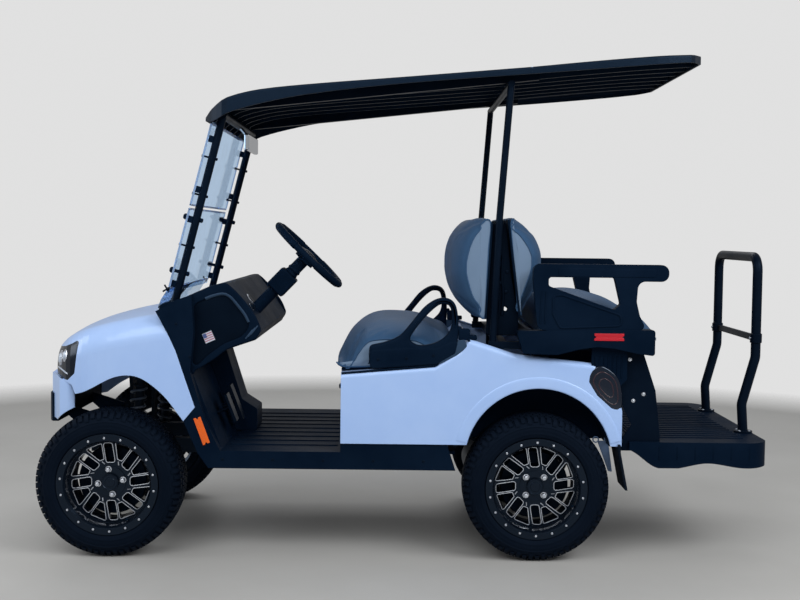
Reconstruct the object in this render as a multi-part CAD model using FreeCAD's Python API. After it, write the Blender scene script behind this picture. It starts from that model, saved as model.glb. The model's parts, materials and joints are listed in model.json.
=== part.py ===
import FreeCAD, Part
import math
import os

from FreeCAD import Vector

# A four-seat golf cart with a rear-facing back seat that flips over into a cargo deck.
# X runs forward, Y to the driver's left and Z up. The origin is the middle of the
# overall length and width, on the ground. All lengths are millimetres. A name that
# ends in share or shares holds fractions of the sizes named beside it.

# Driving sizes
wheel_base = 1700.0
front_overhang = 322.5
rear_overhang = 965.0
track = 1030.0
tyre_diameter = 584.0
tyre_width = 205.0
body_half = 580.0
floor_z = 426.0
floor_set = 430.0             # front edge of the flat floor behind the front axle
floor_length = 490.0          # flat floor from the toe board back to the seat pod
panel_wall = 5.0
loft_steps = 3                # cross-sections made from each given one
overrun = 60.0                # how far a cutting tool runs past what it cuts
running = 0.1                 # radial clearance of a pin or shaft in its hole
corner_limit_share = 0.49      # most of a short side that one rounded corner takes
rest_gap = 0.3                # air between pieces that rest together but move apart

front_x = (front_overhang + wheel_base + rear_overhang) / 2
rear_x = -front_x
front_axle_x = front_x - front_overhang
rear_axle_x = rear_x + rear_overhang
axle_z = tyre_diameter / 2
wheel_y = track / 2
floor_front_x = front_axle_x - floor_set
pod_front_x = floor_front_x - floor_length

# Rim, hub and tyre
rim_half = 97.0
rim_flange_diameter = 404.0
bead_seat_diameter = 350.0
drop_centre_diameter = 326.0
rim_wall = 8.0
rim_flange = 11.0
rim_lip_bevel = 8.0
spoke_face_set = 30.0         # spoke face outboard of the tyre's middle
spoke_depth = 26.0
window_outer_diameter = 310.0
slot_inner_diameter = 156.0
wedge_inner_diameter = 188.0
slot_width = 34.0
spoke_width = 11.0
window_pairs = 8
window_round_share = 0.6       # corner radius of an opening per unit of its inner half width
swirl_share = 0.16            # sideways lean of the spokes per unit of radius
hub_diameter = 66.0
hub_length = 36.0
hub_disc_diameter = 122.0
hub_disc_rise = 5.0
cap_diameter = 64.0
cap_height = 12.0
lug_circle_diameter = 101.6
lug_diameter = 20.0
lug_height = 14.0
lug_count = 4
front_lug_turn = 9
rear_lug_turn = 45
spindle_diameter = 34.0
spindle_end_set = 12.0        # spindle end outboard of the tyre's middle
bead_width = 16.0
tread_share = 0.74
tread_shoulder_share = 0.9
shoulder_drop = 16.0
crown_drop = 3.0
sidewall = 13.0

# Steering
king_pin_inset = 60.0         # king pin inboard of the tyre's middle
king_pin_diameter = 20.0
king_pin_reach = 18.0
upright_height = 150.0
upright_width = 46.0
steer_arm_length = 95.0
steer_arm_width = 28.0
steer_arm_thickness = 14.0
steer_arm_set = 5.0           # steering arm's underside below the axle
rack_diameter = 26.0
rack_half = 230.0
rack_housing_diameter = 46.0
rack_housing_half = 205.0
tie_rod_diameter = 16.0
tie_eye_thickness = 12.0
tie_eye_gap = 5.0

# Frame
rail_y = 200.0
rail_width = 45.0
rail_height = 60.0
rail_front_set = 160.0        # rail end ahead of the front axle
kick_up = 116.0
kick_run = 140.0
kick_start_set = 340.0        # start of the kick-up ahead of the rear axle
kick_lean = 18.0              # rail top's bend behind its underside's bend
rail_rear_set = 361.0         # rail end behind the rear axle
floor_thickness = 12.0
cross_depth = 45.0
subframe_half_length = 60.0
subframe_low_z = 180.0
tower_length = 70.0
tower_wall = 14.0
tower_top_z = 722.0
tower_lean = 70.0             # shock tops behind the front axle
tow_plate_length = 60.0
tow_plate_width = 70.0
tow_plate_thickness = 12.0
tow_hole_diameter = 20.0

# Suspension and axle
arm_diameter = 24.0
arm_eye_diameter = 44.0
arm_eye_thickness = 16.0
arm_spread = 105.0
shock_foot_y = 330.0
shock_top_y = 284.0
shock_foot_lean = 38.0
shock_body_diameter = 34.0
shock_rod_diameter = 16.0
coil_diameter = 56.0
coil_wire = 9.0
coil_turns = 6
coil_foot_share = 0.2          # shares of the coil-over's length
coil_head_share = 0.9
shock_body_share = 0.45
subframe_arm_share = 0.42      # lower arm's feet nearer together than the upper arm's
axle_tube_diameter = 76.0
axle_tube_half = 432.0
drum_diameter = 210.0
drum_width = 30.0
gearbox_length = 230.0
gearbox_height = 180.0
gearbox_width = 200.0
gearbox_round = 30.0
motor_diameter = 180.0
motor_length = 230.0
motor_set = 170.0             # motor ahead of the rear axle
leaf_half = 290.0
leaf_rise = 96.0
leaf_width = 50.0
leaf_thickness = 14.0
leaf_count = 3
leaf_step_share = 0.22         # how much shorter each leaf is than the one above
hanger_length = 44.0
battery_length = 380.0
battery_width = 560.0
battery_height = 262.0
battery_set = 42.0

# Side panels and floor
side_panel_thickness = 45.0
side_panel_set = 5.0          # side panel face inboard of the body's side
pillar_length = 252.0
pillar_height = 690.0
sill_corner = 58.0
rocker_low_z = 356.0
rocker_rear_set = 459.0       # rocker's rear end behind the pod's front
body_low_z = 461.0
toe_run = 121.0
toe_height = 313.0
rib_count = 9
rib_width = 18.0
rib_height = 4.0

# Cowl, bumper and lamps
cowl_length = 660.0
cowl_low_z = 500.0
cowl_height = 510.0
cowl_nose_set = 16.0
cowl_corner = 105.0
cowl_crown = 24.0
arch_length = 439.0
arch_height = 180.0
arch_rear_set = 295.0         # front arch's rear foot behind the axle
arch_foot_z = 543.0
bumper_low_z = 522.0
bumper_top_z = 703.0
bumper_length = 162.0
bumper_half = 520.0
bumper_nose = 8.0             # white bumper skin behind the foremost point
strip_half = 360.0
strip_height = 116.0
strip_depth = 62.0
strip_low_z = 504.0
lamp_depth = 26.0
lamp_inner_y = 330.0
tyre_clearance = 26.0

# Dash, column and pedals
dash_half = 530.0
dash_length = 418.0
dash_height = 353.0
dash_low_z = 740.0
dash_inset_share = 2.4         # both walls' part of the dash's height, per wall thickness
column_diameter = 52.0
column_angle = 46.0
column_length = 330.0
column_top_gap = 3.0
steering_y = 270.0
steering_hub_x = 404.0
steering_hub_z = 1203.0
steering_diameter = 350.0
steering_grip = 28.0
steering_spoke_width = 39.2
steering_spoke_angles = (180, 300, 420)
steering_shaft_diameter = 20.0
steering_shaft_length = 150.0
steering_boss_diameter = 90.0
steering_boss_height = 34.0
switch_box_length = 96.0
switch_box_width = 84.0
switch_box_set = 124.8
pedal_width = 70.0
pedal_length = 120.0
pedal_thickness = 12.0
pedal_stem = 14.0
pedal_height_share = 0.45
pedal_shares = ((0.35, 1.3), (0.65, 1.0))    # each pedal's place across its side, and its length
console_half = 95.0
console_reach_z = 90.0          # console top above the dash's foot, inside its underside
console_top_x = 789.0
console_knee_x = 705.0
console_knee_z = 567.0
console_rear_x = 639.0
console_rear_z = 525.0

# Windscreen
post_y = 470.0
post_diameter = 32.0
post_foot_x = 930.0
post_foot_z = 1006.0
post_top_x = 736.0
post_top_z = 1762.0
glass_half = 490.0
glass_thickness = 5.0
glass_gap = 16.0
lower_glass_low_z = 1040.0
lower_glass_high_z = 1378.0
upper_glass_high_z = 1726.0
glass_seam = 16.0
clip_height = 26.0
clip_width = 22.0
mirror_width = 330.0
mirror_height = 70.0
mirror_thickness = 22.0
mirror_drop = 30.0

# Roof
roof_half = 600.0
roof_front_x = 805.0
roof_rear_x = -1172.0
roof_low_z = 1736.0
roof_rise = 282.0
roof_wall = 7.0
roof_corner = 9.0
roof_crown = 16.0
roof_rib_count = 6
roof_rib_reach = 352.0
roof_rib_width = 12.0
roof_rib_drop = 16.0
roof_rail_y = 440.0
roof_rail_width = 30.0

# Seat pod
body_length = 1118.0
body_height = 426.0
body_corner = 24.0
body_crown = 3.0
rear_arch_radius = 293.0
rear_arch_set = 8.0
rear_arch_rise = 104.0
liner_inner_y = 388.0
liner_wall = 4.0
pod_opening_half = 490.0
rear_opening_half = 553.0

# Seats
cushion_half = 540.0
front_cushion_length = 478.0
front_cushion_height = 192.0
seat_overhang = 12.0
pan_thickness = 10.0
pan_length = 372.0
hatch_share = 0.9              # opening in the pod's top, as a share of the seat pan
cushion_lift = 1.0             # air between the seat pan's slope and the cushion's foot
seat_hinge_y = 300.0
seat_hinge_set = 7.0           # seat hinge ahead of the pod's front face
seat_hinge_z = 750.0
seat_ear_width = 30.0
seat_ear_diameter = 12.0
seat_lug_thickness = 8.0
seat_pin_diameter = 7.0
seat_pan_half = 530.0
back_half = 528.0
front_back_x = -172.0
front_back_depth = 167.0
front_back_low_z = 955.0
back_height = 397.0
back_shell = 8.0
rear_back_x = -412.0
rear_back_depth = 163.0
rear_back_low_z = 972.0
hip_length = 353.0
hip_height = 260.0
hip_low_z = 783.0
hip_front_x = 140.0
hip_thickness = 34.0
hip_inner_y = 546.0

# Rear seat frame, deck and arms
seat_frame_y = 530.0
seat_tube = 30.0
seat_frame_low_z = 842.0
seat_frame_front_x = -335.0
seat_frame_rear_x = -985.0
deck_hinge_x = -965.0
deck_thickness = 12.0
deck_half = 510.0
trim_front_x = -742.0
trim_rear_x = -884.0
trim_knee_z = 728.0
trim_notch = 34.0
trim_low_z = 603.0
deck_front_x = -545.0
deck_rear_x = -1010.0
deck_pin_diameter = 12.0
rear_cushion_half = 505.0
rear_cushion_length = 539.0
rear_cushion_height = 164.0
rail_trim_length = 545.0
rail_trim_height = 103.0
rail_trim_low_z = 826.0
rail_trim_outer_y = 610.0
arm_length = 533.0
arm_height = 261.0
arm_front_x = -502.0
arm_thickness = 38.0
arm_foot_shares = (0.1, 0.8)
rear_post_y = 530.0
rear_post_diameter = 28.0
rear_post_top_x = -410.0
rear_post_top_z = 1892.0
rear_post_knee_x = -372.0
rear_post_knee_z = 1365.0
rear_post_foot_x = -352.0
cross_bar_diameter = 24.0
cross_bar_low_z = 1010.0
cross_bar_high_z = 1280.0
bagwell_front_x = -600.0
bagwell_rear_x = -820.0
bagwell_half = 370.0
bagwell_height = 300.0

# Rear step, plates and hoop
step_front_x = -900.0
step_rear_set = 29.0
step_half = 570.0
step_top_z = 478.0
step_depth = 104.0
step_corner = 90.0
step_wall = 6.0
step_tube = 30.0
step_tube_y = 300.0
step_cross_x = -875.0
plate_thickness = 5.0
hoop_y = 300.0
hoop_diameter = 40.0
hoop_top_z = 1235.0
hoop_corner = 62.0
hoop_bend = 90.0
hoop_bar_z = 876.0
hoop_bar_height = 26.0
hoop_bar_thickness = 12.0
hoop_foot_diameter = 76.0
hoop_foot_thickness = 8.0
hoop_foot_lean = 44.0
hoop_bulge_share = 1.2         # how far the stems bulge, as a share of the feet's lean
flap_length = 150.0
flap_width = 170.0
flap_thickness = 9.0
plate_length = 165.0
tail_lamp_depth = 46.0
reflector_thickness = 3.0
reflector_height = 108.0
reflector_width = 67.0
rail_reflector_set = 240.0      # red reflector's front end ahead of the seat frame's rear end
rail_reflector_length = 117.0
rail_reflector_height = 29.0
rail_reflector_low_z = 885.0

# Outlines as shares of the sizes above
cowl_station_shares = (
    (0.000, 0.26, 0.471, 0.5), (0.035, 0.50, 0.598, 0.7), (0.103, 0.725, 0.692, 0.9),
    (0.210, 0.90, 0.784, 1.0), (0.330, 0.966, 0.845, 1.0), (0.510, 0.988, 0.906, 1.0),
    (0.740, 0.992, 0.961, 1.0), (1.060, 0.992, 1.0, 1.0))
cowl_edge_shares = (
    (0.981, 0.194), (0.926, 0.398), (0.864, 0.635), (0.815, 0.771), (0.743, 0.941))
pillar_shares = (
    (0.809, 0.933), (0.651, 0.97), (0.413, 1.0), (0.377, 0.788), (0.433, 0.555), (0.194, 0.278), (0.043, 0.165))
arch_shares = (
    (0.0, 0.0), (0.064, 0.21), (0.148, 0.475), (0.287, 0.79), (0.424, 0.972),
    (0.517, 1.0), (0.61, 0.967), (0.747, 0.82), (1.0, 0.553))
lamp_shares = (
    (0.27, 0.706), (0.242, 0.44), (0.19, 0.38), (-0.05, 0.40), (-0.05, 0.58), (0.16, 0.64), (0.215, 0.668))
dash_profile_shares = (
    (0.0, 0.0), (-0.34, 0.235), (-0.64, 0.357), (-0.692, 0.465), (-0.55, 0.728), (-0.365, 1.0),
    (-0.187, 0.955), (-0.045, 0.878), (0.105, 0.80), (0.29, 0.675))
body_station_shares = (
    (0.0, 0.671), (0.335, 0.749), (0.43, 0.911), (0.452, 1.0), (0.62, 0.859),
    (0.895, 0.782), (0.926, 0.744), (1.0, 0.366))
roof_station_shares = (
    (0.0, 0.80, 0.057, 0.0), (0.017, 0.90, 0.16, -0.02), (0.051, 0.985, 0.305, 0.085),
    (0.115, 1.0, 0.415, 0.215), (0.20, 1.0, 0.486, 0.34), (0.392, 1.0, 0.603, 0.51),
    (0.652, 1.0, 0.764, 0.665))
roof_tail_shares = (
    (0.652, 1.0, 0.764, 0.665), (0.76, 1.0, 0.843, 0.73), (0.90, 0.985, 0.936, 0.82),
    (0.97, 0.93, 0.975, 0.865), (1.0, 0.78, 1.0, 0.88))
cushion_shares = (
    (0.0, 0.0), (0.017, 0.167), (0.086, 0.526), (0.174, 0.818), (0.262, 0.953), (0.395, 1.0),
    (0.698, 0.969), (0.83, 0.797), (0.985, 0.66), (0.985, 0.44), (0.80, 0.17))
front_back_shares = (
    (0.66, 1.0), (0.36, 0.917), (0.138, 0.773), (0.006, 0.58), (0.0, 0.453), (0.108, 0.29),
    (0.27, 0.144), (0.575, 0.02), (0.72, 0.0), (0.874, 0.01), (1.0, 0.98))
rear_back_shares = (
    (0.04, 1.0), (0.23, 0.985), (0.54, 0.91), (0.85, 0.76), (1.0, 0.61), (0.97, 0.446),
    (0.785, 0.246), (0.656, 0.128), (0.417, 0.02), (0.31, 0.0), (0.0, 0.97))
rear_cushion_shares = (
    (0.0, 0.0), (0.01, 0.6), (0.08, 0.85), (0.3, 0.945), (0.42, 1.0), (0.58, 0.915),
    (0.68, 0.78), (0.77, 0.62), (0.93, 0.378), (1.0, 0.1), (0.97, 0.0))
hip_shares = (
    (0.0, 0.22), (0.02, -0.3), (0.77, -0.2), (0.96, 0.2), (1.0, 0.53), (0.958, 0.94),
    (0.87, 1.0), (0.75, 1.0), (0.618, 0.873), (0.465, 0.596), (0.365, 0.427), (0.178, 0.304))
hip_hole_shares = (
    (0.462, 0.40), (0.52, 0.30), (0.64, 0.29), (0.79, 0.358), (0.9, 0.51), (0.93, 0.70),
    (0.91, 0.90), (0.84, 0.93), (0.76, 0.90), (0.65, 0.75))
rail_trim_shares = (
    (0.0, 0.913), (1.0, 1.0), (1.0, 0.0), (0.87, 0.087), (0.712, 0.272), (0.587, 0.33),
    (0.464, 0.243), (0.297, 0.01), (0.05, 0.04))
arm_shares = (
    (0.036, 0.0), (0.0, 0.766), (0.0, 1.0), (1.0, 1.0), (1.0, 0.747), (0.775, 0.747),
    (0.765, 0.44), (0.79, 0.23), (0.846, 0.0))
arm_hole_shares = ((0.114, 0.65), (0.114, 0.78), (0.60, 0.78), (0.647, 0.385), (0.60, 0.30))
plate_shares = (
    (0.0, 1.0), (0.48, 1.0), (0.80, 0.64), (0.87, 0.56), (1.0, 0.14), (1.0, 0.0), (0.0, 0.0),
    (0.0, 0.07), (0.30, 0.24), (0.12, 0.38), (-0.10, 0.58), (0.08, 0.66))
step_wave_shares = (
    (-0.1, 3.0), (0.05, 2.2), (0.18, 0.2), (0.35, 0.0), (0.55, 0.8), (0.78, 0.15), (0.95, 0.2), (1.1, 0.4))
bumper_corner_shares = ((0.55, 0.90), (0.12, 0.62), (0.0, 0.30))
amber_shares = ((0.0, 0.0), (0.2, 1.0), (-0.25, 0.96), (-0.45, -0.05))
tail_lamp_shares = (
    (0.0, 0.65), (0.10, 0.92), (0.42, 1.0), (0.85, 0.70), (0.95, 0.10), (0.70, 0.0), (0.25, 0.32))
tail_lamp_length = 138.0
tail_lamp_height = 168.0
tail_lamp_x = -732.0
tail_lamp_low_z = 610.0

# Directions and worked-out places
ALONG_X = Vector(1, 0, 0)
ALONG_Y = Vector(0, 1, 0)
ALONG_Z = Vector(0, 0, 1)
ORIGIN = Vector(0, 0, 0)

king_pin_y = wheel_y - king_pin_inset
rail_top_z = floor_z - floor_thickness
rail_low_z = rail_top_z - rail_height
rear_rail_top_z = rail_top_z + kick_up
rear_rail_low_z = rear_rail_top_z - rail_height
rail_outer_y = rail_y + rail_width / 2
rail_inner_y = rail_y - rail_width / 2
side_outer_y = body_half - side_panel_set
side_inner_y = side_outer_y - side_panel_thickness
cowl_nose_x = front_x - cowl_nose_set
arch_foot_x = front_axle_x - arch_rear_set
arch_centre_x = rear_axle_x - rear_arch_set
arch_centre_z = axle_z + rear_arch_rise
seat_frame_top_z = seat_frame_low_z + seat_tube
deck_low_z = seat_frame_top_z + seat_tube / 4
deck_hinge_z = deck_low_z + deck_thickness / 2
steer_x = front_axle_x - steer_arm_length
upper_arm_z = axle_z + upright_height / 2 + rest_gap + arm_eye_thickness / 2
lower_arm_z = axle_z - upright_height / 2 - rest_gap - arm_eye_thickness / 2
tie_z = axle_z - steer_arm_set + steer_arm_thickness + tie_eye_gap + tie_eye_thickness / 2
seat_hinge_x = pod_front_x + seat_hinge_set
rail_start_x = front_axle_x + rail_front_set
rail_end_x = rear_axle_x - rail_rear_set
kick_x = rear_axle_x + kick_start_set
column_axis = Vector(-math.cos(math.radians(column_angle)), 0, math.sin(math.radians(column_angle)))
steering_centre = Vector(steering_hub_x, steering_y, steering_hub_z)
post_run = Vector(post_top_x - post_foot_x, 0, post_top_z - post_foot_z).normalize()
post_normal = Vector(post_run.z, 0, -post_run.x)
hoop_x = rear_x + hoop_diameter / 2
step_rear_x = rear_x + step_rear_set


def block(x, y, z):
    """Box between the low and high values of each axis."""
    return Part.makeBox(x[1] - x[0], y[1] - y[0], z[1] - z[0], Vector(x[0], y[0], z[0]))


def rod(start, end, diameter):
    """Round bar between two points."""
    run = end - start
    return Part.makeCylinder(diameter / 2, run.Length, start, run)


def pin(centre, direction, diameter, low, high):
    """Round bar along a direction, between two distances from its centre."""
    return rod(centre + direction * low, centre + direction * high, diameter)


def mirrored(shape):
    """Copy on the other side of the cart."""
    return shape.mirror(ORIGIN, ALONG_Y)


def both_sides(shape):
    """A shape and its mirror copy, as solids of one node."""
    return Part.makeCompound([shape, mirrored(shape)])


def joined(shapes):
    """One solid from shapes that meet."""
    first, *rest = shapes
    return first.fuse(rest).removeSplitter() if rest else first


def trimmed(shape, *neighbours):
    """A shape seated against its neighbours."""
    for neighbour in neighbours:
        shape = shape.cut(neighbour)
    return shape


def fitted(shares, start, size):
    """Outline points from shares of a length and a height."""
    return [(start[0] + along * size[0], start[1] + up * size[1]) for along, up in shares]


def corner_arc(before, corner, after, radius):
    """Start, middle and end of the arc that rounds one corner."""
    inward = (before - corner).normalize()
    outward = (after - corner).normalize()
    half_angle = inward.getAngle(outward) / 2
    reach = radius / math.tan(half_angle)
    limit = min((before - corner).Length, (after - corner).Length) * corner_limit_share
    if reach > limit:
        radius *= limit / reach
        reach = limit
    middle = corner + (inward + outward).normalize() * (radius / math.sin(half_angle) - radius)
    return corner + inward * reach, middle, corner + outward * reach


def rounded_wire(points, radius, closed=True):
    """Straight runs joined by tangent arcs."""
    count = len(points)
    corners = []
    for index, corner in enumerate(points):
        if radius > 0 and (closed or 0 < index < count - 1):
            corners.append(corner_arc(points[index - 1], corner, points[(index + 1) % count], radius))
        else:
            corners.append((corner, None, corner))
    edges = []
    for index, (start, middle, end) in enumerate(corners):
        if middle:
            edges.append(Part.Arc(start, middle, end).toShape())
        if closed or index < count - 1:
            edges.append(Part.LineSegment(end, corners[(index + 1) % count][0]).toShape())
    return Part.Wire(edges)


def plate(outline, plane, span, radius=0):
    """Outline in a plane, rounded at its corners, given a thickness."""
    low, high = span
    if plane == "xz":
        points = [Vector(u, low, v) for u, v in outline]
        direction = ALONG_Y
    elif plane == "xy":
        points = [Vector(u, v, low) for u, v in outline]
        direction = ALONG_Z
    else:
        points = [Vector(low, u, v) for u, v in outline]
        direction = ALONG_X
    return Part.Face(rounded_wire(points, radius)).extrude(direction * (high - low))


def across(outline, half, radius=0):
    """Side outline that runs the same distance to both sides of the middle."""
    return plate(outline, "xz", (-half, half), radius)


def bar(points, diameter, bend):
    """Round tube along straight runs with tangent bends."""
    path = rounded_wire(points, bend, closed=False)
    start = points[0]
    circle = Part.Wire(Part.makeCircle(diameter / 2, start, points[1] - start))
    return path.makePipeShell([circle], True, False)


def revolved(profile, centre):
    """Closed profile of (offset, radius) points, turned about an axis along Y."""
    points = [centre + Vector(0, offset, radius) for offset, radius in profile]
    wire = Part.makePolygon(points + points[:1])
    return Part.Face(wire).revolve(centre, ALONG_Y, 360)


def crowned_section(x, half, low, top, corner, crown):
    """Cross-section with upright sides, round shoulders and a crowned top."""
    shoulder = top - crown
    corner = min(corner, half / 2)
    near = half - corner
    diagonal = corner * (1 - 1 / math.sqrt(2))
    side_low = Vector(x, half, low)
    side_high = Vector(x, half, shoulder - corner)
    bend = Vector(x, half - diagonal, shoulder - diagonal)
    edge = Vector(x, near, shoulder)
    summit = Vector(x, 0, top)
    flip = [Vector(p.x, -p.y, p.z) for p in (side_low, side_high, bend, edge)]
    return Part.Wire([
        Part.LineSegment(side_low, side_high).toShape(),
        Part.Arc(side_high, bend, edge).toShape(),
        Part.Arc(edge, summit, flip[3]).toShape(),
        Part.Arc(flip[3], flip[2], flip[1]).toShape(),
        Part.LineSegment(flip[1], flip[0]).toShape(),
        Part.LineSegment(flip[0], side_low).toShape()])


def slope_at(places, values, index):
    """Slope of a curve through the values that never runs past them."""
    runs = [places[at + 1] - places[at] for at in range(len(places) - 1)]
    rises = [(values[at + 1] - values[at]) / runs[at] for at in range(len(runs))]
    if index == 0 or index == len(runs):
        return rises[min(index, len(runs) - 1)]
    before, after = rises[index - 1], rises[index]
    return 2 * before * after / (before + after) if before * after > 0 else 0


def resampled(stations, steps):
    """More cross-sections between the given ones, on smooth curves."""
    columns = list(zip(*stations))
    places = columns[0]
    rows = []
    for index in range(len(places) - 1):
        run = places[index + 1] - places[index]
        for step in range(steps):
            on = step / steps
            left = 1 - on
            row = [places[index] + run * on]
            for values in columns[1:]:
                start = slope_at(places, values, index) * run
                end = slope_at(places, values, index + 1) * run
                row.append(values[index] * (1 + 2 * on) * left ** 2 + start * on * left ** 2
                           + values[index + 1] * (3 - 2 * on) * on ** 2 - end * left * on ** 2)
            rows.append(tuple(row))
    return rows + [stations[-1]]


def crowned_loft(stations):
    """Solid through cross-sections of (x, half width, low, top, corner, crown)."""
    return Part.makeLoft([crowned_section(*station) for station in stations], True, True)


def inset(stations, wall, drop):
    """The stations of a shell's inside: smaller by the wall and open below."""
    return [(x, half - wall, low - drop, top - wall, max(corner - wall, wall), crown)
            for x, half, low, top, corner, crown in stations]


def lengthened(stations, front, rear):
    """The same stations with each end moved along X; an end that is passed stays as well."""
    first, last = stations[0], stations[-1]
    heading = last[0] - first[0]
    kept = [station for station in stations
            if (station is not first or front * heading < 0) and (station is not last or rear * heading > 0)]
    return [(first[0] + front,) + first[1:]] + kept + [(last[0] + rear,) + last[1:]]


# Wheels
def wheel_window(inner_diameter, inner_half, outer_half, centre, angle):
    """Cutter for one opening between the spokes."""
    inner = inner_diameter / 2
    outer = window_outer_diameter / 2
    lean = swirl_share * (outer - inner)
    points = [(-inner_half, inner), (inner_half, inner), (outer_half + lean, outer), (lean - outer_half, outer)]
    low = centre.y + spoke_face_set - spoke_depth - overrun
    high = centre.y + spoke_face_set + overrun
    outline = [(centre.x + u, centre.z + v) for u, v in points]
    cutter = plate(outline, "xz", (low, high), inner_half * window_round_share)
    cutter.rotate(centre, ALONG_Y, angle)
    return cutter


def rim(centre, lug_turn):
    """Alloy wheel: barrel, bolted lip, spoked face and hub, as one casting."""
    flange = rim_flange_diameter / 2
    seat = bead_seat_diameter / 2
    drop = drop_centre_diameter / 2
    inner_edge = rim_half - rim_flange
    well = inner_edge - 2 * bead_width
    barrel = revolved([
        (-rim_half, flange), (-inner_edge, flange), (-inner_edge, seat),
        (-well, seat), (rim_wall - well, drop), (-rim_flange, drop), (0, seat),
        (inner_edge, seat), (inner_edge, flange), (rim_half, flange),
        (rim_half, seat), (inner_edge, seat - rim_wall), (rim_wall, seat - rim_wall),
        (-rim_flange, drop - rim_wall), (-well, drop - rim_wall),
        (-well - rim_wall, seat - rim_wall), (-rim_half, seat - rim_wall)], centre)
    back = spoke_face_set - spoke_depth
    face = pin(centre, ALONG_Y, bead_seat_diameter - rim_wall, back, spoke_face_set)
    pitch = 360 / window_pairs
    outer_girth = math.pi * window_outer_diameter / window_pairs
    inner_girth = math.pi * wedge_inner_diameter / window_pairs
    cutters = []
    for index in range(window_pairs):
        slot_half = slot_width / 2
        cutters.append(wheel_window(slot_inner_diameter, slot_half, slot_half, centre, index * pitch))
        gap = slot_width + 2 * spoke_width
        cutters.append(wheel_window(wedge_inner_diameter, (inner_girth - gap) / 2, (outer_girth - gap) / 2,
                                    centre, index * pitch + pitch / 2))
    face = face.cut(cutters)
    hub = pin(centre, ALONG_Y, hub_diameter, -hub_length, spoke_face_set)
    disc = pin(centre, ALONG_Y, hub_disc_diameter, back, spoke_face_set + hub_disc_rise)
    cap = pin(centre, ALONG_Y, cap_diameter, spoke_face_set, spoke_face_set + hub_disc_rise + cap_height)
    pieces = [barrel, face, hub, disc, cap]
    for index in range(lug_count):
        angle = math.radians(lug_turn + index * 360 / lug_count)
        place = centre + Vector(math.sin(angle), 0, math.cos(angle)) * (lug_circle_diameter / 2)
        pieces.append(pin(place, ALONG_Y, lug_diameter, spoke_face_set, spoke_face_set + hub_disc_rise + lug_height))
    bore = pin(centre, ALONG_Y, spindle_diameter + 2 * running, -overrun, spindle_end_set + hub_disc_rise)
    return joined(pieces).cut(bore)


def tyre(centre):
    """Tubeless tyre, hollow towards the rim."""
    half = tyre_width / 2
    radius = tyre_diameter / 2
    flange = rim_flange_diameter / 2
    seat = bead_seat_diameter / 2
    bead = rim_half - rim_flange
    rise = radius - flange
    outer = [(bead, seat), (bead, flange + running), (rim_half, flange + crown_drop),
             (half, flange + rise / 3), (half - crown_drop, radius - 2 * shoulder_drop),
             (half * tread_shoulder_share, radius - shoulder_drop), (half * tread_share, radius - crown_drop)]
    inner = [(half * tread_share - sidewall, radius - sidewall - crown_drop),
             (half - sidewall, radius - 2 * shoulder_drop - crown_drop), (half - sidewall, flange + rise / 3),
             (bead - bead_width, flange - rise / 6), (bead - bead_width, seat)]
    crown = [(0, radius)]
    under = [(0, radius - sidewall)]
    mirror_outer = [(-offset, size) for offset, size in reversed(outer)]
    mirror_inner = [(-offset, size) for offset, size in reversed(inner)]
    return revolved(outer + crown + mirror_outer + mirror_inner + under + inner, centre)


def knuckle():
    """Front upright with its king pins, stub axle and steering arm."""
    centre = Vector(front_axle_x, king_pin_y, axle_z)
    half = upright_width / 2
    body = block((front_axle_x - half, front_axle_x + half), (king_pin_y - half, king_pin_y + half),
                 (axle_z - upright_height / 2, axle_z + upright_height / 2))
    reach = upright_height / 2 + king_pin_reach
    pins = pin(centre, ALONG_Z, king_pin_diameter, -reach, reach)
    stub = pin(centre, ALONG_Y, spindle_diameter, 0, king_pin_inset + spindle_end_set)
    low = axle_z - steer_arm_set
    arm = block((steer_x, front_axle_x), (king_pin_y - steer_arm_width / 2, king_pin_y + steer_arm_width / 2),
                (low, low + steer_arm_thickness))
    eye = pin(Vector(steer_x, king_pin_y, low), ALONG_Z, steer_arm_width, 0, steer_arm_thickness)
    return joined([body, pins, stub, arm, eye])


def steering_rack():
    """Rack bar with its two tie rods; the rod ends stop above the steering arms."""
    centre = Vector(steer_x, 0, tie_z)
    pieces = [pin(centre, ALONG_Y, rack_diameter, -rack_half, rack_half)]
    for side in (-1, 1):
        end = centre + ALONG_Y * (side * king_pin_y)
        pieces.append(rod(centre, end, tie_rod_diameter))
        pieces.append(pin(end, ALONG_Z, steer_arm_width, -tie_eye_thickness / 2, tie_eye_thickness / 2))
    return joined(pieces)


# Frame and running gear
def frame_rail():
    """Left box rail, kicked up over the rear axle."""
    outline = [(rail_start_x, rail_low_z), (kick_x, rail_low_z), (kick_x - kick_run, rear_rail_low_z),
               (rail_end_x, rear_rail_low_z), (rail_end_x, rear_rail_top_z),
               (kick_x - kick_run - kick_lean, rear_rail_top_z), (kick_x - kick_lean, rail_top_z),
               (rail_start_x, rail_top_z)]
    return plate(outline, "xz", (rail_inner_y, rail_outer_y))


def cross_members():
    """Cross members between the rails, from the nose to the tail."""
    reach = (-rail_inner_y, rail_inner_y)
    low_span = (rail_low_z, rail_top_z)
    high_span = (rear_rail_low_z, rear_rail_top_z)
    kicked_x = kick_x - kick_run - kick_lean
    return Part.makeCompound([
        block((rail_start_x - cross_depth, rail_start_x), reach, low_span),
        block((floor_front_x - cross_depth, floor_front_x), reach, low_span),
        block((kick_x, kick_x + cross_depth), reach, low_span),
        block((kicked_x - cross_depth, kicked_x), reach, high_span),
        block((rail_end_x, rail_end_x + cross_depth), reach, high_span)])


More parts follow.
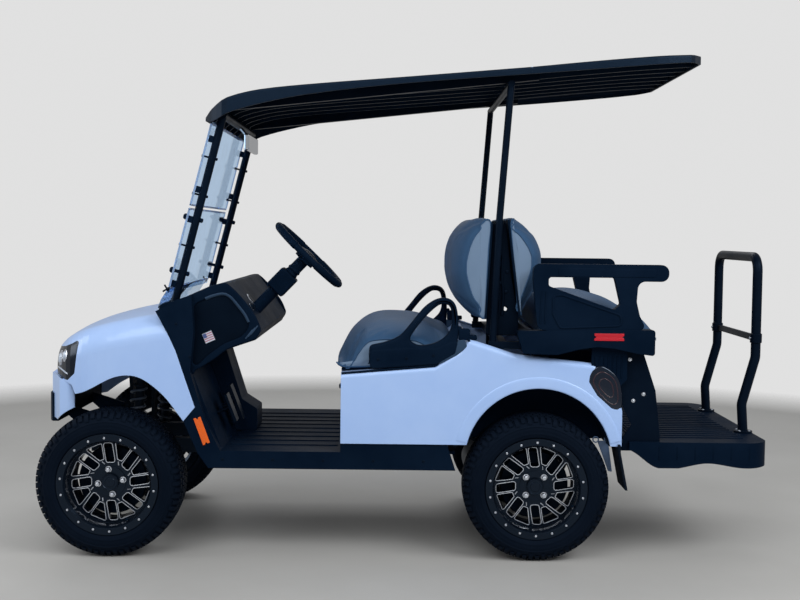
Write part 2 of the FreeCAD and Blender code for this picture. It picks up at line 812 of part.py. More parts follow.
def front_subframe():
    """Box tube under the rails at the front axle, with the housing of the steering rack."""
    front = front_axle_x + subframe_half_length
    rear = front_axle_x - subframe_half_length
    tube = block((rear, front), (-rail_outer_y, rail_outer_y), (subframe_low_z, rail_low_z))
    hollow = block((rear - overrun, front + overrun), (tower_wall - rail_inner_y, rail_inner_y - tower_wall),
                   (subframe_low_z + tower_wall, rail_low_z - tower_wall))
    housing = pin(Vector(steer_x, 0, tie_z), ALONG_Y, rack_housing_diameter, -rack_housing_half, rack_housing_half)
    ear = rack_housing_half / 4
    ears = [block((steer_x, rear), (side - ear / 2, side + ear / 2), (tie_z - tie_rod_diameter, tie_z + tie_rod_diameter))
            for side in (ear - rack_housing_half, rack_housing_half - ear)]
    bore = pin(Vector(steer_x, 0, tie_z), ALONG_Y, rack_diameter + 2 * running, -rack_half, rack_half)
    return trimmed(joined([tube, housing] + ears), hollow, bore)


def shock_towers():
    """Portal on the rails that holds the tops of the front shocks."""
    tower_x = front_axle_x - tower_lean
    front = tower_x + coil_diameter / 2 + 2 * tower_wall
    pieces = [block((front - tower_wall, front), (-rail_y, rail_y), (tower_top_z - cross_depth, tower_top_z + tower_wall))]
    for side in (-1, 1):
        outline = [(side * rail_inner_y, rail_top_z), (side * rail_outer_y, rail_top_z),
                   (side * shock_top_y, tower_top_z), (side * rail_inner_y, tower_top_z)]
        pieces.append(plate(outline, "yz", (front - tower_wall, front)))
        pieces.append(block((tower_x - tower_length / 2, tower_x + tower_length / 2 + tower_wall),
                            tuple(sorted((side * rail_inner_y, side * (shock_top_y + coil_diameter / 2)))),
                            (tower_top_z, tower_top_z + tower_wall)))
    return joined(pieces)


def tow_plate():
    """Plate ahead of the first cross member, with the tow pin's hole."""
    low = rail_low_z + (rail_height - tow_plate_thickness) / 2
    tongue = block((rail_start_x, rail_start_x + tow_plate_length), (-tow_plate_width / 2, tow_plate_width / 2),
                   (low, low + tow_plate_thickness))
    hole = pin(Vector(rail_start_x + tow_plate_length / 2, 0, low), ALONG_Z, tow_hole_diameter, -overrun, overrun)
    return tongue.cut(hole)


def suspension_arm(level, reach_z):
    """One wishbone from the rail to the king pin, with its ball eye."""
    eye_centre = Vector(front_axle_x, king_pin_y, level)
    eye = pin(eye_centre, ALONG_Z, arm_eye_diameter, -arm_eye_thickness / 2, arm_eye_thickness / 2)
    pieces = [eye]
    for lean in (-arm_spread, arm_spread):
        inner = Vector(front_axle_x + lean * reach_z, rail_outer_y + arm_diameter / 2, level)
        pieces.append(rod(inner, eye_centre, arm_eye_thickness))
        pieces.append(pin(inner, ALONG_X, arm_diameter, -arm_diameter, arm_diameter))
    hole = pin(eye_centre, ALONG_Z, king_pin_diameter + 2 * running, -overrun, overrun)
    return joined(pieces).cut(hole)


def shock():
    """Front coil-over: rod, body and a coil of stacked rings."""
    foot = Vector(front_axle_x - shock_foot_lean, shock_foot_y, lower_arm_z + arm_eye_thickness / 2)
    top = Vector(front_axle_x - tower_lean, shock_top_y, tower_top_z)
    run = (top - foot).normalize()
    length = (top - foot).Length
    foot_set = length * coil_foot_share
    head_set = length * coil_head_share
    body = pin(foot, run, shock_body_diameter, 0, length * shock_body_share)
    piston = pin(foot, run, shock_rod_diameter, 0, length - coil_wire)
    collar = pin(foot, run, coil_diameter, foot_set, foot_set + coil_wire)
    head = pin(foot, run, coil_diameter, head_set, head_set + coil_wire)
    pitch = (head_set - foot_set - coil_wire) / coil_turns
    sleeve = pin(foot, run, coil_diameter - 2 * coil_wire, foot_set, head_set)
    rings = []
    for index in range(coil_turns):
        level = foot_set + coil_wire + pitch / 2 + index * pitch
        rings.append(pin(foot, run, coil_diameter, level, level + coil_wire))
    return joined([body, piston, collar, head, sleeve] + rings)


def front_suspension():
    """Upper and lower wishbones and coil-overs of both front wheels."""
    upper = suspension_arm(upper_arm_z, 1.0)
    lower = suspension_arm(lower_arm_z, subframe_arm_share)
    seat_x = front_axle_x - shock_foot_lean
    half = shock_body_diameter / 2
    saddle = block((seat_x - half, front_axle_x + half), (shock_foot_y - half, shock_foot_y + half),
                   (lower_arm_z - arm_eye_thickness / 2, lower_arm_z + arm_eye_thickness / 2))
    strut = trimmed(shock(), block((seat_x - tower_length, front_axle_x), (0, body_half),
                                   (tower_top_z, tower_top_z + overrun)))
    return both_sides(Part.makeCompound([upper, joined([lower, saddle, strut])]))


def rear_axle():
    """Transaxle case, axle tubes, brake drums, stub ends and the drive motor."""
    centre = Vector(rear_axle_x, 0, axle_z)
    case = block((rear_axle_x - gearbox_length / 2, rear_axle_x + gearbox_length / 2),
                 (-gearbox_width / 2, gearbox_width / 2),
                 (axle_z - gearbox_height / 2, axle_z + gearbox_height / 2))
    case = case.makeFillet(gearbox_round, case.Edges)
    tube = pin(centre, ALONG_Y, axle_tube_diameter, -axle_tube_half, axle_tube_half)
    stub_reach = wheel_y + spindle_end_set
    stub = pin(centre, ALONG_Y, spindle_diameter, -stub_reach, stub_reach)
    drums = [pin(centre, ALONG_Y, drum_diameter, side - drum_width / 2, side + drum_width / 2)
             for side in (-axle_tube_half, axle_tube_half)]
    motor = pin(Vector(rear_axle_x + motor_set, 0, axle_z), ALONG_Y, motor_diameter,
                -gearbox_width / 2, motor_length - gearbox_width / 2)
    return joined([case, tube, stub, motor] + drums)


def leaf_springs():
    """Stacked leaf springs with their hangers under the rear rails."""
    middle_z = axle_z + axle_tube_diameter / 2
    span = (rail_y - leaf_width / 2, rail_y + leaf_width / 2)
    pieces = []
    for index in range(leaf_count):
        share = 1 - leaf_step_share * index
        half = leaf_half * share
        rise = leaf_rise * share ** 2
        drop = leaf_thickness * (leaf_count - 1 - index)
        top = [Vector(rear_axle_x + half, 0, middle_z + rise + drop + leaf_thickness),
               Vector(rear_axle_x, 0, middle_z + drop + leaf_thickness),
               Vector(rear_axle_x - half, 0, middle_z + rise + drop + leaf_thickness)]
        low = [point - ALONG_Z * leaf_thickness for point in reversed(top)]
        wire = Part.Wire([Part.Arc(*top).toShape(), Part.LineSegment(top[2], low[0]).toShape(),
                          Part.Arc(*low).toShape(), Part.LineSegment(low[2], top[0]).toShape()])
        leaf = Part.Face(wire).extrude(ALONG_Y * leaf_width)
        leaf.translate(ALONG_Y * span[0])
        pieces.append(leaf)
    eye_z = middle_z + leaf_rise + leaf_thickness * leaf_count
    for side in (-1, 1):
        place = rear_axle_x + side * (leaf_half - hanger_length / 2)
        pieces.append(block((place - hanger_length / 2, place + hanger_length / 2), span,
                            (eye_z - 2 * leaf_thickness, rear_rail_low_z)))
    saddle = block((rear_axle_x - hanger_length, rear_axle_x + hanger_length), span, (axle_z, middle_z + leaf_thickness))
    saddle = saddle.cut(pin(Vector(rear_axle_x, 0, axle_z), ALONG_Y, axle_tube_diameter, -body_half, body_half))
    return both_sides(trimmed(joined(pieces + [saddle]), frame_rail()))


def battery():
    """The battery pack under the front seat, one plain block."""
    front = pod_front_x - battery_set
    return block((front - battery_length, front), (-battery_width / 2, battery_width / 2),
                 (floor_z, floor_z + battery_height))


# Floor and side panels
def floor_pan():
    """Floor and toe board in one sheet, with raised ribs underfoot."""
    rear = kick_x - kick_lean
    outline = [(rear, rail_top_z), (floor_front_x, rail_top_z), (floor_front_x + toe_run, rail_top_z + toe_height),
               (floor_front_x + toe_run - floor_thickness, floor_z + toe_height),
               (floor_front_x - floor_thickness, floor_z), (rear, floor_z)]
    sheet = across(outline, side_inner_y)
    pitch = 2 * side_inner_y / (rib_count + 1)
    ribs = [block((pod_front_x + rib_width, floor_front_x - 2 * rib_width),
                  (index * pitch - side_inner_y - rib_width / 2, index * pitch - side_inner_y + rib_width / 2),
                  (floor_z, floor_z + rib_height)) for index in range(1, rib_count + 1)]
    return joined([sheet] + ribs)


def cowl_edge():
    """Rear edge of the white cowl, from its foot to its top."""
    return fitted(cowl_edge_shares, (cowl_nose_x, cowl_low_z), (-cowl_length, cowl_height))


def side_panel():
    """Black sill that sweeps up behind the wheel to carry the dash and the screen post."""
    pillar = fitted(pillar_shares, (floor_front_x, rocker_low_z), (pillar_length, pillar_height))
    rear = pod_front_x - rocker_rear_set
    lip = body_low_z - floor_z
    outline = [(rear, rocker_low_z), (floor_front_x + lip, rocker_low_z),
               (arch_foot_x - sill_corner, rocker_low_z + sill_corner), (arch_foot_x, arch_foot_z)]
    outline += cowl_edge() + pillar
    outline += [(floor_front_x - floor_thickness, floor_z), (pod_front_x, floor_z), (pod_front_x, body_low_z),
                (rear + lip, body_low_z)]
    return plate(outline, "xz", (side_inner_y, side_outer_y))


# Cowl, bumper and lamps
def cowl_stations():
    """Cross-sections of the nose from its tip back past the dash."""
    return resampled([(cowl_nose_x - along * cowl_length, wide * body_half, cowl_low_z,
                       cowl_low_z + high * cowl_height, cowl_corner * turn, cowl_crown * wide)
                      for along, wide, high, turn in cowl_station_shares], loft_steps)


def cowl_outer():
    """The nose as a filled form."""
    return crowned_loft(cowl_stations())


def arch_cutter():
    """Everything under the front wheel arch and the bumper's top seam."""
    curve = fitted(arch_shares, (arch_foot_x, arch_foot_z), (arch_length, arch_height))
    spline = Part.BSplineCurve()
    spline.interpolate([Vector(u, -body_half - overrun, v) for u, v in curve])
    first = Vector(curve[0][0], -body_half - overrun, curve[0][1])
    last = Vector(curve[-1][0], -body_half - overrun, curve[-1][1])
    low = cowl_low_z - overrun
    seam_start = Vector(front_x - bumper_length, first.y, bumper_top_z - lamp_depth)
    corners = [last, seam_start, Vector(front_x - bumper_length / 2, first.y, bumper_top_z),
               Vector(front_x + overrun, first.y, bumper_top_z), Vector(front_x + overrun, first.y, low),
               Vector(first.x - overrun, first.y, low), Vector(first.x - overrun, first.y, first.z), first]
    edges = [spline.toShape()]
    for start, end in zip(corners, corners[1:]):
        edges.append(Part.LineSegment(start, end).toShape())
    return Part.Face(Part.Wire(edges)).extrude(ALONG_Y * (2 * body_half + 2 * overrun))


def behind_cowl():
    """Everything behind the cowl's rear edge."""
    edge = cowl_edge()
    foot = (arch_foot_x, arch_foot_z)
    outline = [(foot[0], foot[1] - overrun), foot] + edge + [
        (edge[-1][0] + rim_flange, cowl_low_z + cowl_height + overrun),
        (edge[0][0] - 2 * overrun, cowl_low_z + cowl_height + overrun), (edge[0][0] - 2 * overrun, foot[1] - overrun)]
    return across(outline, body_half + overrun)


def lamp_region():
    """The space that one headlamp fills, on the left of the nose."""
    outline = fitted(lamp_shares, (cowl_nose_x, cowl_low_z), (-cowl_length, cowl_height))
    return plate(outline, "xz", (lamp_inner_y, body_half + overrun), lamp_depth / 3)


def front_cowl():
    """White nose shell with its wheel arches and lamp openings."""
    void = crowned_loft(lengthened(inset(cowl_stations(), panel_wall, overrun), 0, -overrun))
    void.translate(ALONG_X * -panel_wall)
    shell = cowl_outer().cut(void)
    lamp = lamp_region()
    return trimmed(shell, behind_cowl(), arch_cutter(), lamp, mirrored(lamp))


def headlamps():
    """Lamp pods that wrap round the corners of the nose."""
    core = crowned_loft(inset(cowl_stations(), lamp_depth, overrun))
    core.translate(ALONG_X * -lamp_depth)
    pod = cowl_outer().common(lamp_region()).cut(core)
    return both_sides(trimmed(pod, arch_cutter()))


def bumper_outline(half, nose_x, depth):
    """Plan outline of the bumper with its swept corners."""
    rear = nose_x - depth
    left = [(rear, half)] + [(nose_x - depth * back, half * side) for back, side in bumper_corner_shares]
    return left + [(x, -y) for x, y in reversed(left)]


def tyre_swing():
    """Space kept clear above the front tyres."""
    reach = tyre_diameter / 2 + tyre_clearance
    cutter = pin(Vector(front_axle_x + tyre_clearance, 0, axle_z), ALONG_Y, 2 * reach, rail_outer_y + tyre_clearance,
                 body_half + overrun)
    return [cutter, mirrored(cutter)]


def bumper_skin():
    """White bumper cover below the nose, open behind."""
    nose = front_x - bumper_nose
    span = (bumper_low_z, bumper_top_z)
    outer = plate(bumper_outline(bumper_half, nose, bumper_length), "xy", span, cowl_crown)
    inner = plate(bumper_outline(bumper_half - panel_wall, nose - panel_wall, bumper_length), "xy",
                  (bumper_low_z - overrun, bumper_top_z - panel_wall), cowl_crown)
    slope = across([(front_x - bumper_length - overrun, bumper_top_z - overrun),
                    (front_x - bumper_length, bumper_top_z - lamp_depth), (front_x - bumper_length / 2, bumper_top_z),
                    (front_x - bumper_length - overrun, bumper_top_z + overrun)], body_half)
    groove = block((front_x - strip_depth, front_x + overrun), (-strip_half, strip_half),
                   (strip_low_z - overrun, strip_low_z + strip_height))
    return trimmed(outer, inner, slope, groove, *tyre_swing())


def bumper_strip():
    """Black bumper face that closes the bumper below, with its bracket to the frame."""
    nose = front_x
    span = (strip_low_z, strip_low_z + strip_height)
    outer = plate(bumper_outline(bumper_half, nose, bumper_length), "xy", span, cowl_crown)
    face = outer.common(block((front_x - strip_depth, front_x + overrun), (-strip_half, strip_half), span))
    rail_end = front_axle_x + rail_front_set
    brackets = []
    for side in (-rail_y, rail_y):
        outline = [(rail_end - cross_depth, rail_top_z), (rail_end, rail_top_z), (front_x - strip_depth, strip_low_z),
                   (front_x - strip_depth, strip_low_z + cross_depth), (rail_end - cross_depth, strip_low_z)]
        brackets.append(plate(outline, "xz", (side - tower_wall / 2, side + tower_wall / 2)))
    return joined([face] + brackets)


# Dash and driver's controls
def dashboard():
    """Hollow dash moulding with an open cubby on each side of the column."""
    edge = cowl_edge()
    outline = dash_face_points() + [edge[3], edge[2]]
    outer = across(outline, dash_half - rest_gap, rim_lip_bevel)
    wall = panel_wall
    inner_points = dash_inner_points()
    inner = across(inner_points, dash_half - wall - rest_gap)
    shell = outer.cut(inner)
    return shell


def dash_face_points():
    """Dash corners from the toe board back, over the top and forward to the cowl."""
    base = (floor_front_x + toe_run, dash_low_z)
    shares = dash_profile_shares
    return fitted(shares, base, (dash_length, dash_height))


def dash_inner_points():
    """The dash corners moved inwards by the wall."""
    points = dash_face_points()
    middle_x = sum(x for x, z in points) / len(points)
    middle_z = sum(z for x, z in points) / len(points)
    shrink = 1 - dash_inset_share * panel_wall / dash_height
    return [(middle_x + (x - middle_x) * shrink, middle_z + (z - middle_z) * shrink) for x, z in points]


def toe_wedge():
    """The toe board and everything ahead of it."""
    return across([(floor_front_x - floor_thickness, floor_z), (floor_front_x + toe_run - floor_thickness,
                   floor_z + toe_height), (floor_front_x + 4 * toe_run, floor_z + toe_height),
                   (floor_front_x + 4 * toe_run, rail_top_z), (floor_front_x - floor_thickness, rail_top_z)],
                  side_inner_y)


def centre_console():
    """Console between the footwells, from the dash down to its bolster on the floor."""
    foot_z = floor_z + rib_height
    outline = [(floor_front_x + toe_run + toe_run / 2, dash_low_z + console_reach_z),
               (console_top_x, dash_low_z + console_reach_z), (console_knee_x, console_knee_z),
               (console_rear_x, console_rear_z), (console_rear_x, foot_z),
               (floor_front_x + toe_run, foot_z)]
    console = across(outline, console_half, rim_flange)
    under_dash = across([(x, z) for x, z in dash_face_points()] + [cowl_edge()[3], cowl_edge()[2]], dash_half)
    return trimmed(console, toe_wedge(), under_dash)


def steering_column():
    """Column tube with its bracket and switch box."""
    start = steering_centre - column_axis * steering_boss_height
    tube = pin(start, column_axis, column_diameter, -column_length, -column_top_gap)
    bore = pin(start, column_axis, steering_shaft_diameter + 2 * running, -steering_shaft_length - overrun / 2,
               overrun)
    box_centre = start - column_axis * switch_box_set
    box = Part.makeBox(switch_box_length, switch_box_width, switch_box_width)
    box.translate(Vector(-switch_box_length / 2, -switch_box_width / 2, -switch_box_width / 2))
    box = box.makeFillet(rim_lip_bevel, box.Edges)
    box.rotate(ORIGIN, ALONG_Y, column_angle)
    box.translate(box_centre)
    whole = joined([tube, box]).cut(bore)
    return trimmed(whole, across(dash_face_points(), dash_half))


def steering_wheel():
    """Grip, three spokes, boss and shaft."""
    grip = Part.makeTorus(steering_diameter / 2, steering_grip / 2)
    boss = Part.makeCylinder(steering_boss_diameter / 2, steering_boss_height, Vector(0, 0, -steering_boss_height))
    pieces = [grip, boss]
    reach = steering_diameter / 2
    for angle in steering_spoke_angles:
        spoke = Part.makeBox(reach, steering_spoke_width, steering_grip / 3)
        spoke.translate(Vector(0, -steering_spoke_width / 2, -steering_grip / 2))
        spoke.rotate(ORIGIN, ALONG_Z, angle)
        pieces.append(spoke)
    shaft = Part.makeCylinder(steering_shaft_diameter / 2, steering_shaft_length + steering_boss_height,
                              Vector(0, 0, -steering_shaft_length - steering_boss_height))
    wheel = joined(pieces + [shaft])
    wheel.rotate(ORIGIN, ALONG_Y, column_angle - 90)
    wheel.translate(steering_centre)
    return wheel


def pedals():
    """Accelerator and brake pedals on stems from the toe board."""
    toe_slope = math.degrees(math.atan2(toe_run, toe_height))
    pieces = []
    for place, long_share in pedal_shares:
        y = steering_y * 2 * place
        pad = Part.makeBox(pedal_thickness, pedal_width, pedal_length * long_share)
        pad.translate(Vector(-pedal_thickness, -pedal_width / 2, -pedal_length * long_share / 2))
        stem = Part.makeCylinder(pedal_stem / 2, 2 * overrun, ORIGIN, ALONG_X)
        pedal = joined([pad, stem])
        pedal.rotate(ORIGIN, ALONG_Y, toe_slope)
        pedal.translate(Vector(floor_front_x - overrun / 3, y, floor_z + toe_height * pedal_height_share))
        pieces.append(pedal)
    return Part.makeCompound([trimmed(piece, toe_wedge()) for piece in pieces])


# Windscreen
def screen_point(z, forward):
    """Point on the screen posts' line at a height, moved forward square to it."""
    share = (z - post_foot_z) / (post_top_z - post_foot_z)
    x = post_foot_x + share * (post_top_x - post_foot_x)
    return (x + post_normal.x * forward, z + post_normal.z * forward)


def screen_frame():
    """Front posts and the bar across their tops."""
    foot = Vector(post_foot_x, post_y, post_foot_z)
    top = Vector(post_top_x, post_y, post_top_z)
    post = rod(foot - post_run * overrun, top, post_diameter)
    bar_low = Vector(post_top_x, -post_y - post_diameter / 2, post_top_z)
    bar_high = Vector(post_top_x, post_y + post_diameter / 2, post_top_z)
    whole = joined([post, mirrored(post), rod(bar_low, bar_high, post_diameter)])
    return trimmed(whole, across(dash_face_points(), dash_half))


def glass(low_z, high_z):
    """One clear pane ahead of the posts."""
    near = post_diameter / 2 + glass_gap
    far = near + glass_thickness
    outline = [screen_point(low_z, near), screen_point(high_z, near), screen_point(high_z, far),
               screen_point(low_z, far)]
    return across(outline, glass_half)


def screen_clips():
    """Clips that hold the panes to the posts."""
    clips = []
    near = 0
    far = post_diameter / 2 + glass_gap
    posts = [rod(Vector(post_foot_x, side, post_foot_z), Vector(post_top_x, side, post_top_z), post_diameter)
             for side in (-post_y, post_y)]
    levels = (lower_glass_low_z + clip_height, lower_glass_high_z - 2 * clip_height,
              lower_glass_high_z + glass_seam + 2 * clip_height, upper_glass_high_z - 3 * clip_height)
    for level in levels:
        for side in (-post_y, post_y):
            outline = [screen_point(level, near), screen_point(level + clip_height, near),
                       screen_point(level + clip_height, far), screen_point(level, far)]
            clip = plate(outline, "xz", (side - clip_width / 2, side + clip_width / 2))
            clips.append(trimmed(clip, *posts))
    return Part.makeCompound(clips)


def mirror():
    """Wide rear-view mirror under the roof's front bar."""
    top = post_top_z - post_diameter / 2 - mirror_drop
    x = post_top_x - 2 * mirror_thickness
    shell = block((x - mirror_thickness, x), (-mirror_width / 2, mirror_width / 2), (top - mirror_height, top))
    shell = shell.makeFillet(mirror_thickness / 3, shell.Edges)
    arm = rod(Vector(x - mirror_thickness / 2, 0, top - mirror_height / 3), Vector(post_top_x, 0, post_top_z),
              pedal_stem)
    bar_solid = rod(Vector(post_top_x, -post_y, post_top_z), Vector(post_top_x, post_y, post_top_z), post_diameter)
    return trimmed(joined([shell, arm]), bar_solid)


# Roof
def roof_stations(shares):
    """Cross-sections of the canopy."""
    length = roof_rear_x - roof_front_x
    return resampled([(roof_front_x + along * length, wide * roof_half, roof_low_z + foot * roof_rise,
                       roof_low_z + high * roof_rise + roof_crown * wide, roof_corner, roof_crown * wide)
                      for along, wide, high, foot in shares], loft_steps)


def roof_void(shares, front, rear):
    """The space under one canopy moulding, its ends moved along X."""
    return crowned_loft(lengthened(inset(roof_stations(shares), roof_wall, 3 * overrun), front, rear))


def canopy(shares, front, rear):
    """One canopy moulding: thin shell with a lip all round and ribs beneath."""
    stations = roof_stations(shares)
    outer = crowned_loft(stations)
    shell = outer.cut(roof_void(shares, front, rear))
    pitch = 2 * roof_rib_reach / (roof_rib_count - 1)
    depth = roof_wall + roof_crown + roof_rib_drop
    upper = [(station[0], station[3]) for station in stations]
    outline = upper + [(x, z - depth) for x, z in reversed(upper)]
    ribs = []
    for index in range(roof_rib_count):
        y = index * pitch - roof_rib_reach
        ribs.append(plate(outline, "xz", (y - roof_rib_width / 2, y + roof_rib_width / 2)).common(outer))
    return joined([shell] + ribs)


def roof_frame():
    """Rails under the canopy from the front bar to the rear posts."""
    bar_top = post_top_z + post_diameter / 2
    rear_top = rear_post_top_z + rear_post_diameter / 2
    rise = (rear_top - bar_top) / (post_top_x - rear_post_top_x)
    rear_x_end = rear_post_top_x - 4 * roof_rail_width
    outline = [(post_top_x + roof_rail_width, bar_top), (rear_x_end, bar_top + rise * (post_top_x - rear_x_end)),
               (rear_x_end, roof_low_z + roof_rise), (post_top_x + roof_rail_width, roof_low_z + roof_rise)]
    rail = plate(outline, "xz", (roof_rail_y - roof_rail_width / 2, roof_rail_y + roof_rail_width / 2))
    below = block((rear_x_end, post_top_x), (0, roof_half), (0, roof_low_z + 2 * roof_rise))
    covers = [crowned_loft(inset(roof_stations(shares), roof_wall + rest_gap, floor_z))
              for shares in (roof_station_shares, roof_tail_shares)]
    return both_sides(joined([rail.common(below).common(cover) for cover in covers]))


# Seat pod
def body_stations():
    """Cross-sections of the seat pod from the front face back."""
    return [(pod_front_x - along * body_length, body_half, body_low_z, body_low_z + up * body_height,
             body_corner, body_crown) for along, up in body_station_shares]


def body_outer():
    """Seat pod as a filled form."""
    return crowned_loft(body_stations())


def rear_arch(radius, low_y, high_y):
    """Round wheel arch form on the left side."""
    return pin(Vector(arch_centre_x, 0, arch_centre_z), ALONG_Y, 2 * radius, low_y, high_y)


def tail_lamp_form(grow):
    """Teardrop space of the left tail lamp."""
    outline = fitted(tail_lamp_shares, (tail_lamp_x, tail_lamp_low_z), (-tail_lamp_length, tail_lamp_height))
    return plate(outline, "xz", (body_half - tail_lamp_depth - grow, body_half + grow), rim_flange)


def rear_body():
    """White seat pod: sides, front and shoulders, with its rear wheel arches."""
    void = crowned_loft(lengthened(inset(body_stations(), panel_wall, overrun), -panel_wall, -overrun))
    shell = body_outer().cut(void)
    arches = rear_arch(rear_arch_radius, -body_half - overrun, body_half + overrun)
    hatch = block((pod_front_x - pan_length * hatch_share, pod_front_x - overrun), (-pod_opening_half, pod_opening_half),
                  (body_low_z + body_height / 3, body_low_z + body_height + overrun))
    back_x = pod_front_x - body_station_shares[3][0] * body_length
    deck_hole = block((pod_front_x - body_length - overrun, back_x - panel_wall),
                      (-rear_opening_half, rear_opening_half), (body_low_z, body_low_z + body_height + overrun))
    lamp = tail_lamp_form(0)
    return trimmed(shell, deck_hole, arches, hatch, lamp, mirrored(lamp))


def arch_liners():
    """Black wheel-house mouldings behind the rear arches."""
    outer = rear_arch(rear_arch_radius - rest_gap, liner_inner_y, body_half - panel_wall)
    inner = rear_arch(rear_arch_radius - liner_wall, liner_inner_y + liner_wall, body_half + overrun)
    below = block((arch_centre_x - 2 * rear_arch_radius, arch_centre_x + 2 * rear_arch_radius),
                  (0, body_half + overrun), (0, body_low_z))
    return both_sides(trimmed(outer, inner, below))


def tail_lamps():
    """Teardrop tail lamps set into the rear corners."""
    lamp = tail_lamp_form(0).common(block(
        (tail_lamp_x - tail_lamp_length, tail_lamp_x), (body_half - tail_lamp_depth, body_half - body_crown),
        (tail_lamp_low_z, tail_lamp_low_z + tail_lamp_height)))
    return both_sides(trimmed(lamp, side_plate()))


# Front seat
def front_cushion():
    """Bench cushion as one soft solid."""
    start = (pod_front_x + seat_overhang, body_low_z + body_station_shares[0][1] * body_height
             + pan_thickness + cushion_lift)
    return across(fitted(cushion_shares, start, (-front_cushion_length, front_cushion_height)), cushion_half,
                  sidewall)


def front_seat_pan():
    """Board under the cushion; its front edge is the seat's hinge."""
    low = body_low_z + body_station_shares[0][1] * body_height + rest_gap
    slope = ((body_station_shares[1][1] - body_station_shares[0][1]) * body_height
             / (body_station_shares[1][0] * body_length))
    front = pod_front_x
    rear = pod_front_x - pan_length
    outline = [(front, low), (rear, low + slope * pan_length), (rear, low + slope * pan_length + pan_thickness),
               (front, low + pan_thickness)]
    ears = []
    for side in (-seat_hinge_y, seat_hinge_y):
        span = (side - seat_ear_width / 2, side + seat_ear_width / 2)
        ears.append(block((front - pan_thickness, seat_hinge_x + seat_ear_diameter / 2), span,
                          (low, low + pan_thickness)))
        ears.append(pin(Vector(seat_hinge_x, 0, seat_hinge_z), ALONG_Y, seat_ear_diameter, *span))
    hole = pin(Vector(seat_hinge_x, 0, seat_hinge_z), ALONG_Y, seat_pin_diameter + 2 * running, -body_half, body_half)
    return trimmed(joined([across(outline, seat_pan_half)] + ears), hole, front_cushion())


def seat_hinges():
    """Lugs on the pod's front with the pins on which the front seat tips up."""
    reach = seat_ear_width / 2 + rest_gap + seat_lug_thickness
    foot = block((pod_front_x, seat_hinge_x + seat_ear_diameter / 2), (seat_hinge_y - reach, seat_hinge_y + reach),
                 (seat_hinge_z - seat_ear_diameter, seat_hinge_z))
    centre = Vector(seat_hinge_x, seat_hinge_y, seat_hinge_z)
    lug = joined([foot, pin(centre, ALONG_Y, seat_ear_diameter, -reach, reach)])
    notch = block((pod_front_x - overrun, pod_front_x + overrun),
                  (seat_hinge_y + seat_lug_thickness - reach, seat_hinge_y - seat_lug_thickness + reach),
                  (seat_hinge_z - seat_ear_diameter - overrun, seat_hinge_z + overrun))
    stub = pin(centre, ALONG_Y, seat_pin_diameter, -reach, reach)
    return both_sides(joined([lug.cut(notch), stub]))


def hip_restraint():
    """Looped side arm beside the front cushion, on the pod's edge."""
    start = (hip_front_x, hip_low_z)
    size = (-hip_length, hip_height)
    span = (hip_inner_y, hip_inner_y + hip_thickness)
    loop = plate(fitted(hip_shares, start, size), "xz", span, sidewall)
    hole = plate(fitted(hip_hole_shares, start, size), "xz", (span[0] - overrun, span[1] + overrun), sidewall)
    return trimmed(loop.cut(hole), body_outer())


# Backrests
def flat_wedge(low, high, extra):
    """Outline of a thin plate behind a backrest's flat face."""
    return [low, high, (high[0] + extra, high[1]), (low[0] + extra, low[1])]


def front_flat():
    """Lowest and highest point of the front backrest's flat face."""
    return fitted(front_back_shares[-2:], (front_back_x, front_back_low_z), (-front_back_depth, back_height))


def rear_flat():
    """Lowest and highest point of the rear backrest's flat face."""
    return fitted(rear_back_shares[-2:], (rear_back_x, rear_back_low_z), (-rear_back_depth, back_height))


def front_backrest():
    """Front backrest pad."""
    return across(fitted(front_back_shares, (front_back_x, front_back_low_z), (-front_back_depth, back_height)),
                  back_half, sidewall)


def front_back_shell():
    """Plastic back of the front backrest."""
    low, high = front_flat()
    return trimmed(across(flat_wedge(low, high, -back_shell), back_half), front_backrest())


def rear_backrest():
    """Rear-facing backrest pad."""
    return across(fitted(rear_back_shares, (rear_back_x, rear_back_low_z), (-rear_back_depth, back_height)),
                  back_half, sidewall)


def rear_back_shell():
    """Plastic back of the rear backrest."""
    low, high = rear_flat()
    return trimmed(across(flat_wedge(low, high, back_shell), back_half), rear_backrest())


def rear_posts():
    """Roof posts behind the front seat, with the bars that carry both backrests."""
    foot = Vector(rear_post_foot_x, rear_post_y, seat_frame_top_z)
    knee = Vector(rear_post_knee_x, rear_post_y, rear_post_knee_z)
    top = Vector(rear_post_top_x, rear_post_y, rear_post_top_z)
    post = bar([foot, knee, top], rear_post_diameter, hoop_bend)
    top_bar = rod(Vector(top.x, -top.y - rear_post_diameter / 2, top.z),
                  Vector(top.x, top.y + rear_post_diameter / 2, top.z), rear_post_diameter)
    pieces = [post, mirrored(post), top_bar]
    for level in (cross_bar_low_z, cross_bar_high_z):
        share = (level - seat_frame_top_z) / (rear_post_knee_z - seat_frame_top_z)
        x = rear_post_foot_x + share * (rear_post_knee_x - rear_post_foot_x)
        pieces.append(rod(Vector(x, -rear_post_y, level), Vector(x, rear_post_y, level), cross_bar_diameter))
        for side in (-back_half / 2, back_half / 2):
            pieces.append(block((rear_back_x - rear_back_depth, front_back_x), (side - sidewall, side + sidewall),
                                (level - rear_post_diameter / 2, level + rear_post_diameter / 2)))
    whole = joined(pieces)
    front_zone = front_zone_form()
    rear_zone = rear_zone_form()
    below = block((rear_post_foot_x - overrun, rear_post_foot_x + overrun), (-body_half, body_half),
                  (seat_frame_low_z, seat_frame_top_z))
    return trimmed(whole, front_zone, rear_zone, below)


